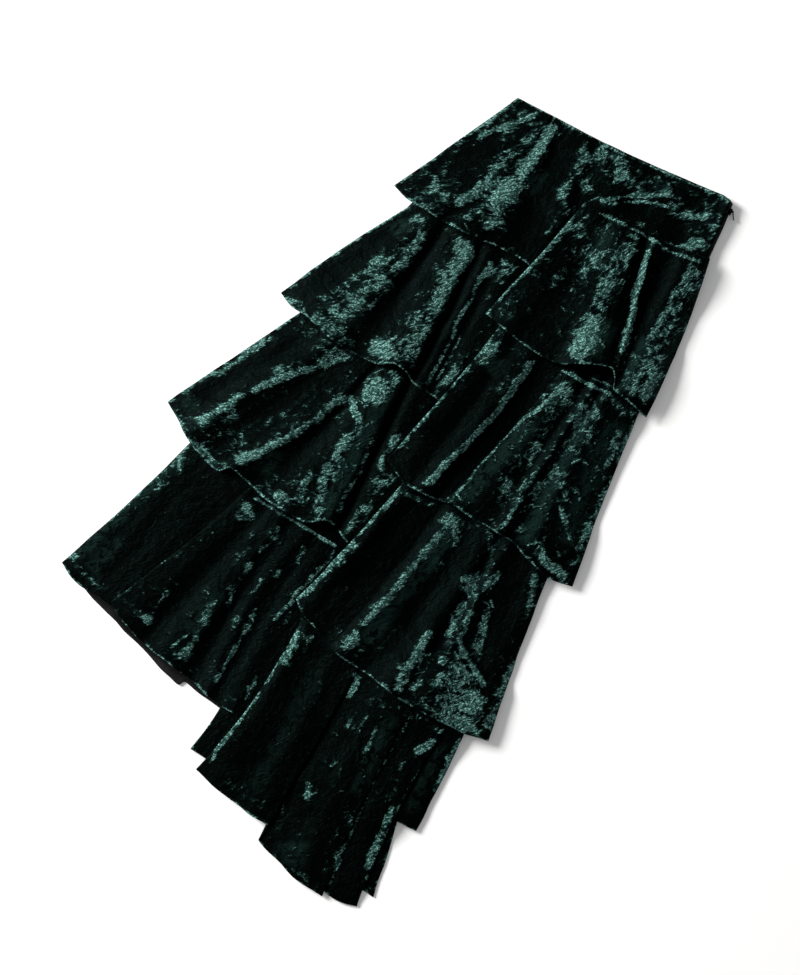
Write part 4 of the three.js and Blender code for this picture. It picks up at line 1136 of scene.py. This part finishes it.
        [[(112, -478), (108, -560), (124, -650), (130, -726)], 1.4, 0.8, 7, 9],
        [[(146, -490), (156, -600), (170, -732)], 0.6, 0.35, 7, 7],
        [[(-240, -560), (-214, -572), (-196, -580)], 0, 0.3, 9, 9],
    ],
    "tier_4_back": [
        [[(-336, -600), (-356, -680), (-382, -788)], 0.8, 0.4, 8, 8],
        [[(-300, -582), (-326, -650), (-334, -720), (-356, -802)], 1.2, 0.65, 10, 7],
        [[(-268, -590), (-292, -690), (-318, -812)], 0, -0.5, 12, 12],
        [[(-232, -596), (-246, -670), (-266, -740), (-272, -826)], 1.4, 0.8, 6, 8],
        [[(-196, -604), (-212, -700), (-232, -840)], 0, -0.55, 10, 10],
        [[(-166, -610), (-176, -690), (-170, -760), (-186, -846)], 1.0, 0.5, 12, 8],
        [[(-126, -620), (-130, -700), (-146, -780), (-140, -854)], 1.6, 0.8, 6, 6],
        [[(-92, -632), (-96, -740), (-104, -858)], 0, -0.7, 12, 12],
        [[(-52, -646), (-46, -720), (-62, -790), (-58, -862)], 1.0, 0.6, 12, 8],
        [[(-8, -660), (-12, -750), (2, -820), (-4, -868)], 1.4, 0.75, 6, 7],
        [[(28, -672), (34, -770), (36, -872)], 0, -0.6, 12, 10],
        [[(72, -688), (66, -760), (80, -820), (78, -876)], 1.0, 0.65, 9, 7],
        [[(112, -702), (118, -790), (114, -876)], 0.8, 0.45, 8, 12],
        [[(-310, -790), (-284, -798), (-262, -806)], 0, 0.3, 9, 9],
    ],
    "tier_5_back": [
        [[(-118, -845), (-122, -880), (-126, -918)], 0.8, 0.5, 7, 6],
        [[(-84, -845), (-80, -890), (-88, -932)], 1.0, 0.7, 8, 6],
        [[(-48, -848), (-52, -940)], 0, -0.6, 10, 10],
        [[(-10, -850), (-4, -900), (-14, -956)], 1.2, 0.65, 7, 9],
        [[(28, -852), (32, -962)], 0, -0.5, 10, 9],
        [[(66, -855), (60, -910), (74, -970)], 1.0, 0.6, 6, 8],
        [[(104, -858), (114, -920), (122, -974)], 0.8, 0.4, 8, 7],
    ],
}
# places where the pile lies evenly: line, how much, width to its right, width to its left
CALM = {
    "yoke_front": [
        [[(-85, -60), (-88, -110)], 0.5, 9, 8],
        [[(10, -60), (12, -75)], 0.4, 12, 10],
    ],
    "tier_1_right": [
        [[(78, -195), (82, -255)], 0.7, 12, 10],
        [[(128, -190), (128, -275)], 0.6, 9, 8],
        [[(165, -90), (166, -270)], 0.5, 8, 10],
        [[(20, -90), (30, -130)], 0.5, 12, 14],
    ],
    "tier_2_left": [
        [[(-236, -290), (-205, -365)], 0.3, 20, 12],
        [[(-205, -200), (-220, -230)], 0.6, 9, 9],
    ],
    "tier_3_left": [
        [[(-130, -400), (-130, -588)], 0.5, 9, 8],
        [[(-215, -530), (-225, -575)], 0.4, 12, 12],
        [[(-340, -520), (-352, -545)], 0.5, 12, 10],
    ],
    "tier_4_left": [
        [[(-325, -590), (-345, -650), (-365, -720), (-385, -775)], 0.6, 9, 10],
        [[(-200, -720), (-215, -800)], 0.4, 10, 10],
        [[(-340, -720), (-365, -785)], 0.4, 12, 10],
    ],
    "tier_2_right": [
        [[(106, -298), (108, -380), (110, -440), (108, -505)], 0.7, 9, 9],
        [[(48, -350), (36, -400), (22, -450), (16, -490)], 0.6, 12, 10],
        [[(-25, -300), (-30, -330)], 0.6, 10, 8],
        [[(145, -300), (150, -400), (154, -480)], 0.4, 14, 14],
    ],
    "tier_3_right": [
        [[(20, -520), (15, -560), (8, -600), (-2, -650), (-14, -705)], 0.75, 12, 11],
    ],
    "tier_4_right": [
        [[(-60, -740), (-50, -820), (-45, -940)], 0.15, 16, 14],
        [[(20, -960), (40, -995)], 0.4, 22, 18],
        [[(62, -760), (64, -880)], 0.4, 8, 8],
    ],
    "tier_4_side": [[[(135, -760), (137, -870)], 0.3, 8, 8]],
}
# how dark a whole piece looks beside the others
TONE = {"tier_4_left": -0.18, "tier_4_right": -0.18, "tier_4_side": -0.22, "tier_5_left": -0.6}


def soften(h, n):
    """A smooth copy of a grid of values: n passes, each half a step wide squared."""
    for _ in range(n):
        p = np.pad(h, ((1, 1), (0, 0)), mode="edge")
        h = (p[:-2] + 2 * p[1:-1] + p[2:]) / 4
        p = np.pad(h, ((0, 0), (1, 1)), mode="edge")
        h = (p[:, :-2] + 2 * p[:, 1:-1] + p[:, 2:]) / 4
    return h


# ---- a sheet through its folds, settled on what is already laid -----------------------------------------------------
CUT = {}
LAID = []
FINE = 1.5  # grid of the painted shade beside edges laid over


def shade_gaps():
    """Paints shade: every piece is darkened in the narrow strip beside an edge laid over it, more so away from the
    light, and a front piece is darkened all over its lower face.
    """
    nx, ny = int(GNX * CELL / FINE), int(GNY * CELL / FINE)
    over = np.zeros((ny, nx))
    away = image_dir(0.9, -0.9)
    for me, x, y, rim, line, out, back in reversed(LAID):
        i = np.clip(((x - GX0) / FINE - 0.5), 0, nx - 1.001)
        j = np.clip(((y - GY0) / FINE - 0.5), 0, ny - 1.001)
        i0, j0 = i.astype(int), j.astype(int)
        a, b = i - i0, j - j0
        g = (over[j0, i0] * (1 - a) + over[j0, i0 + 1] * a) * (1 - b) + (over[j0 + 1, i0] * (1 - a) + over[j0 + 1, i0 + 1] * a) * b
        painted_gap_shade = me.attributes.new("painted_gap_shade", "FLOAT", "POINT")
        # painted shade all over the lower face of a front piece, none on the back pieces
        underside_shade = 0.0 if back else 0.85
        painted_gap_shade.data.foreach_set("value", np.concatenate([g, g * 0 + underside_shade, g[rim] * 0]).astype(np.float32))
        here = np.zeros((ny, nx))
        nxt, nout = np.roll(line, -1, axis=0), np.roll(out, -1, axis=0)
        for t in np.linspace(0, 1, 5)[:-1]:
            q, o = line * (1 - t) + nxt * t, out * (1 - t) + nout * t
            # the painted shade is drawn just outside each edge, shifted away from the light
            for k in (0.5, 1.6, 2.7, 3.8):
                ii = np.clip(((q[:, 0] + o[:, 0] * k + away[0] - GX0) / FINE).astype(int), 0, nx - 1)
                jj = np.clip(((q[:, 1] + o[:, 1] * k + away[1] - GY0) / FINE).astype(int), 0, ny - 1)
                here[jj, ii] = 1
        over = np.maximum(over, np.clip(soften(here, 2) * 1.5, 0, 1))


def cloth(name, spec, seed, mats, wrinkle=1.0, bead=0.45, thick=CLOTH, slope=0.16):
    coarse = 1.0 if name in FRONT else BACK_STEP
    ribs = [dict(zip(FOLD, f)) for f in spec["folds"]]
    seam = spec["seam"]
    us = []
    for i in range(len(ribs) - 1):
        a, b = ribs[i], ribs[i + 1]
        far = max(
            math.hypot(b[k] - a[k], b[z] - a[z]) for k, z in (("seamX", "seamZ"), ("midX", "midZ"), ("hemX", "hemZ"))
        )
        n = max(3 if "~" in a["fold"] + b["fold"] else 4, int(round(far / (STEP * coarse))))
        us += [i + k / n for k in range(n)]
    us = np.array(us + [len(ribs) - 1.0])
    col = {k: through([r[k] for r in ribs], us) for k in FOLD[1:]}
    long = abs(np.mean(col["hemY"]) - np.mean(along(seam, col["seamX"])))
    rows = max(8, int(round(long / (STEP_DOWN * coarse))))
    v = np.linspace(0, 1, rows + 1)[:, None]
    x = bow(col["seamX"], col["midX"], col["hemX"], v)
    sy = along(seam, col["seamX"])
    y = sy + (col["hemY"] - sy) * v
    lift = np.maximum(0, bow(col["seamZ"], col["midZ"], col["hemZ"], v))
    x = x + 0.9 * vnoise(y / 24 + seed, x * 0 + seed, 77) * (0.3 + 0.7 * v)
    y = y + 1.0 * vnoise(x / 19 + seed, x * 0 + seed, 78) * (0.35 + 0.65 * v)
    # lengths along the cloth, for its wrinkles and its pile
    dx = np.hypot(np.diff(x, axis=1), np.diff(lift, axis=1))
    cu = np.concatenate([np.zeros((rows + 1, 1)), np.cumsum(dx, axis=1)], axis=1)
    cu = cu - cu[:, :1] + x[:, :1] * 0.0
    cu = cu * 0.5 + cu[rows // 2][None, :] * 0.5
    cv = np.concatenate([np.zeros((1, x.shape[1])), np.cumsum(np.hypot(np.diff(x, axis=0), np.diff(y, axis=0)), axis=0)])
    # the listed creases, their lines a little uneven
    wx = x + 2.2 * vnoise(x / 13 + 40, y / 17 + 90, seed + 6)
    marks = [dict(zip(CREASE, c)) for c in CREASES.get(name, [])]
    for c in marks:
        if c["height"]:
            lift = lift + crease(wx, y, c["line"], 0.55 * c["height"], c["right"], c["left"])
    # wrinkles that nobody would draw: long ones down the folds, short ones across them, gathers at the seam
    w = 0.9 * (vnoise(cu / 17, cv / 80, seed) * 0.5 + 0.5)
    w = w + 0.55 * (vnoise(cu / 8.5 + 9, cv / 38 + 5, seed + 1) * 0.5 + 0.5)
    w = w + 0.5 * (vnoise(cu / 21 + 3, cv / 15 + 7, seed + 2) * 0.5 + 0.5)
    w = w + 0.30 * (vnoise(cu / 5.2, cv / 9 + 2, seed + 3) * 0.5 + 0.5)
    w = w + spec.get("gather", 0.8) * np.exp(-cv / 26) * (vnoise(cu / 4.6, cv / 60, seed + 4) * 0.5 + 0.5)
    edge = np.minimum(np.minimum(cu, cu.max(axis=1, keepdims=True) - cu) / 7, 1)
    lift = np.maximum(0, lift + wrinkle * w * (0.35 + 0.65 * edge))
    s = support(slope)
    z = sample(s, x, y) + SEAM + thick / 2 + lift
    if not taken.any():
        z = z - SEAM
    # the sheet's two faces
    P = np.stack([x, y, z], -1)
    du = np.gradient(P, axis=1)
    dv = np.gradient(P, axis=0)
    n = np.cross(dv, du)
    n = n / np.linalg.norm(n, axis=-1, keepdims=True)
    hemd = cv[-1:] - cv
    sided = np.minimum(cu, cu.max(axis=1, keepdims=True) - cu)
    # pile, partly painted light: it lies over, with painted highlight, on crests and on flanks that face the key light,
    # up and to the left of the picture
    lx, ly = image_dir(-0.75, 0.66)
    key_light_facing = n[..., 0] * lx + n[..., 1] * ly
    crest = z - soften(z, 40)
    pile = 0.30 + 0.10 * np.clip(crest / 1.6, -2.0, 2.0) + 0.40 * np.clip(soften(key_light_facing, 3), -0.35, 0.35)
    pile = pile + TONE.get(name, 0.0)
    # painted highlight lines along hems and side edges, brighter on the side toward the light, broken by noise
    broken = 0.62 + 0.75 * vnoise(x / 9 + 3, y / 9 + 8, seed + 8)
    lit_edge_side = np.where(cu < cu.max() / 2, 1.0, 0.5)
    pile = pile + broken * (0.75 * np.exp(-((hemd / 2.0) ** 2)) + 1.0 * lit_edge_side * np.exp(-((sided / 2.4) ** 2)))
    # the creases' marks: the pile's lie with painted highlight where it lies over and painted shade where it stands
    # away
    for c in marks:
        fine = 1 + 0.8 * max(0.0, 1 - (c["right"] + c["left"]) / 14)  # a narrow mark shows as clearly as a broad one
        lie = c["lie"] * (fine if c["lie"] > 0 else 1)
        pile = pile + crease(wx - 2.5, y, c["line"], lie, c["right"], c["left"], power=3.0)
    pile = np.clip(pile, 0, 1)
    # the back tiers' outer face is the lower one: its pile follows the same creases, with painted highlight and painted
    # shade from their marks and painted highlight lines along hems and edges
    under = np.full(x.shape, 0.35)
    if name not in FRONT:
        drift = np.clip(0.55 + 1.1 * vnoise(x / 34 + 5, y / 46 + 2, seed + 9), 0.0, 1.25)
        under = 0.27 + 0.26 * vnoise(x / 22, y / 70, seed + 10) + 0.14 * vnoise(x / 9, y / 24, seed + 11)
        under = under + broken * 0.7 * np.exp(-((hemd / 2.0) ** 2)) + broken * 0.8 * lit_edge_side * np.exp(-((sided / 2.4) ** 2))
        for c in marks:
            lie = c["lie"] * drift * (0.8 if c["lie"] > 0 else 0.6)
            under = under + crease(wx, y, c["line"], lie, 1.25 * c["right"], 1.25 * c["left"], power=2.0)
        under = np.clip(under, 0, 1)
    t = thick / 2 + bead / 2 * (np.exp(-((hemd / 2.6) ** 2)) + np.exp(-((sided / 2.2) ** 2)) * spec.get("sidebead", 1.0))
    t = t - 0.12 * np.exp(-(((hemd - 6.5) / 1.6) ** 2))
    top, low = P + n * t[..., None], P - n * t[..., None]
    low[..., 2] = np.maximum(low[..., 2], 0.02)
    take(top[..., 0], top[..., 1], top[..., 2])
    take(low[..., 0], low[..., 1], low[..., 2])
    mid = P
    # a rounded edge: one loop between the faces, pushed out
    R, C = x.shape
    verts = [top.reshape(-1, 3), low.reshape(-1, 3)]
    idx = np.arange(R * C).reshape(R, C)
    rim = np.concatenate([idx[0, :], idx[1:, -1], idx[-1, -2::-1], idx[-2:0:-1, 0]])
    tp, lp = top.reshape(-1, 3)[rim], low.reshape(-1, 3)[rim]
    cen = (tp + lp) / 2
    tang = np.roll(cen, -1, axis=0) - np.roll(cen, 1, axis=0)
    across = tp - lp
    out = np.cross(tang, across)
    out = out / np.maximum(1e-9, np.linalg.norm(out, axis=-1, keepdims=True))
    # outwards is away from the sheet's middle
    inner = P[1:-1, 1:-1].reshape(-1, 3).mean(axis=0)
    if np.sum(np.einsum("ij,ij->i", out[:, :2], (cen - inner)[:, :2])) < 0:
        out = -out
    edge_pts = cen + out * (np.linalg.norm(across, axis=-1, keepdims=True) * 0.42)
    verts.append(edge_pts)
    V = np.concatenate(verts)
    V = (V + np.array([ORIGIN_X, ORIGIN_Y, 0])) * MM
    faces, which = [], []
    a, b, c, d = idx[:-1, :-1].ravel(), idx[:-1, 1:].ravel(), idx[1:, 1:].ravel(), idx[1:, :-1].ravel()
    faces.append(np.stack([d, c, b, a], 1))
    which.append(np.zeros(len(a), int))
    o = R * C
    faces.append(np.stack([a + o, b + o, c + o, d + o], 1))
    which.append(np.ones(len(a), int))
    k = len(rim)
    r0 = rim
    r1 = np.roll(rim, -1)
    e0 = 2 * R * C + np.arange(k)
    e1 = np.roll(e0, -1)
    faces.append(np.stack([r0, r1, e1, e0], 1))
    faces.append(np.stack([e0, e1, r1 + o, r0 + o], 1))
    which += [np.zeros(k, int), np.ones(k, int)]
    F = np.concatenate(faces)
    W = np.concatenate(which)
    me = bpy.data.meshes.new(name + "_cloth")
    me.from_pydata(V.tolist(), [], F.tolist())
    for m in mats:
        me.materials.append(m)
    me.polygons.foreach_set("material_index", W.astype(np.int32))
    me.polygons.foreach_set("use_smooth", np.ones(len(F), bool))
    uv = np.stack([cu.ravel(), cv.ravel()], 1)
    shift = np.array([seed * 37.0, seed * 53.0])
    uvv = np.concatenate([uv, uv, uv[rim]]) + shift
    layer = me.uv_layers.new(name="cloth")
    loops = np.empty(len(me.loops), np.int32)
    me.loops.foreach_get("vertex_index", loops)
    layer.data.foreach_set("uv", (uvv[loops] * MM).astype(np.float32).ravel())
    lie = me.attributes.new("lie", "FLOAT", "POINT")
    flat_pile = pile.ravel()
    calm = np.zeros(x.shape)
    for line, amount, right, left in CALM.get(name, []):
        calm = np.maximum(calm, crease(wx, y, line, amount, right, left, power=4.0))
    still = me.attributes.new("calm", "FLOAT", "POINT")
    calm = calm.ravel()
    still.data.foreach_set("value", np.concatenate([calm, calm * 0, calm[rim]]).astype(np.float32))
    lie.data.foreach_set("value", np.concatenate([flat_pile, under.ravel(), flat_pile[rim]]).astype(np.float32))
    me.update()
    LAID.append((me, x.ravel(), y.ravel(), rim, cen, out, name not in FRONT))
    o = bpy.data.objects.new(name + "_cloth", me)
    scene.collection.objects.link(o)
    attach(o, "skirt")
    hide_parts(name)
    # area of the middle surface
    q = (mid[1:, 1:] - mid[:-1, :-1]) * MM
    q2 = (mid[1:, :-1] - mid[:-1, 1:]) * MM
    area = float(np.linalg.norm(np.cross(q, q2), axis=-1).sum() / 2)
    CUT[name] = (float(cu.max()) * MM, float(cv.max()) * MM, area)
    return o


FACE = [VELVET, WRONG]
order = [
    ("yoke_back", BACK, [WRONG, VELVET], 11, 0.5, "floor"),
    ("tier_1_back", BACK, [WRONG, VELVET], 12, 0.6, "floor"),
    ("tier_2_back", BACK, [WRONG, VELVET], 13, 0.6, "tier_1_back"),
    ("tier_3_back", BACK, [WRONG, VELVET], 14, 0.6, "tier_2_back"),
    ("tier_4_back", BACK, [WRONG, VELVET], 15, 0.6, "tier_3_back"),
    ("tier_5_back", BACK, [VELVET, VELVET], 16, 0.6, "tier_4_back"),
    ("base_back", {"base_back": BASE}, [FOUND, FOUND], 17, 0.4, "tier_3_back"),
    ("base_front", {"base_front": BASE}, [FOUND, FOUND], 18, 0.4, "base_back"),
    ("tier_5_left", FRONT, FACE, 21, 0.8, "tier_5_back"),
    ("tier_4_side", FRONT, FACE, 22, 0.8, "tier_4_back"),
    ("tier_4_left", FRONT, FACE, 23, 1.0, "base_front"),
    ("tier_4_right", FRONT, FACE, 24, 1.0, "tier_4_side"),
    ("tier_3_left", FRONT, FACE, 25, 1.0, "base_front"),
    ("tier_3_right", FRONT, FACE, 26, 1.0, "base_front"),
    ("tier_2_left", FRONT, FACE, 27, 1.0, "base_front"),
    ("tier_2_right", FRONT, FACE, 28, 1.0, "base_front"),
    ("yoke_front", FRONT, FACE, 29, 1.0, "yoke_back"),
    ("tier_1_right", FRONT, FACE, 30, 1.0, "yoke_front"),
]
# each piece as it is cut: width and length of the oblong that holds it flat, and its own area, in metres
FLAT = {
    "yoke_front": (0.380, 0.200, 0.0590),
    "yoke_back": (0.335, 0.102, 0.0300),
    "tier_1_back": (0.390, 0.190, 0.0510),
    "tier_1_right": (0.235, 0.215, 0.0420),
    "tier_2_left": (0.295, 0.220, 0.0590),
    "tier_2_back": (0.455, 0.255, 0.0980),
    "tier_2_right": (0.300, 0.270, 0.0710),
    "tier_3_left": (0.320, 0.255, 0.0720),
    "tier_3_back": (0.510, 0.250, 0.1100),
    "tier_3_right": (0.280, 0.255, 0.0640),
    "tier_4_left": (0.380, 0.270, 0.0930),
    "tier_4_back": (0.530, 0.255, 0.1140),
    "tier_4_right": (0.290, 0.285, 0.0770),
    "tier_4_side": (0.140, 0.160, 0.0220),
    "tier_5_back": (0.280, 0.125, 0.0300),
    "tier_5_left": (0.115, 0.085, 0.0095),
    "base_front": (0.435, 0.655, 0.2400),
    "base_back": (0.435, 0.655, 0.2400),
}
for name, spec, mats, seed, wrinkle, below in order:
    cloth(name, spec[name], seed, mats, wrinkle)
shade_gaps()
for name, spec, mats, seed, wrinkle, below in order:
    w, l, a = FLAT[name]

for node in ("zip_slider", "zip_pull"):
    o = bpy.data.objects.get(node)
    if o is not None:
        o.data.materials.clear()
        o.data.materials.append(ENAMEL)
o = bpy.data.objects.get("zip_tape")
if o is not None:
    o.data.materials.clear()
    o.data.materials.append(TAPE)

for k, (w, l, a) in CUT.items():
    print("CUT", k, round(w, 3), round(l, 3), round(a, 4), "stated", FLAT[k])
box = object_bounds()
as_list = lambda b: json.loads(json.dumps(b, default=lambda q: [float(c) for c in q]))
{"cad": as_list(CAD_BOX), "visual": as_list(box)}
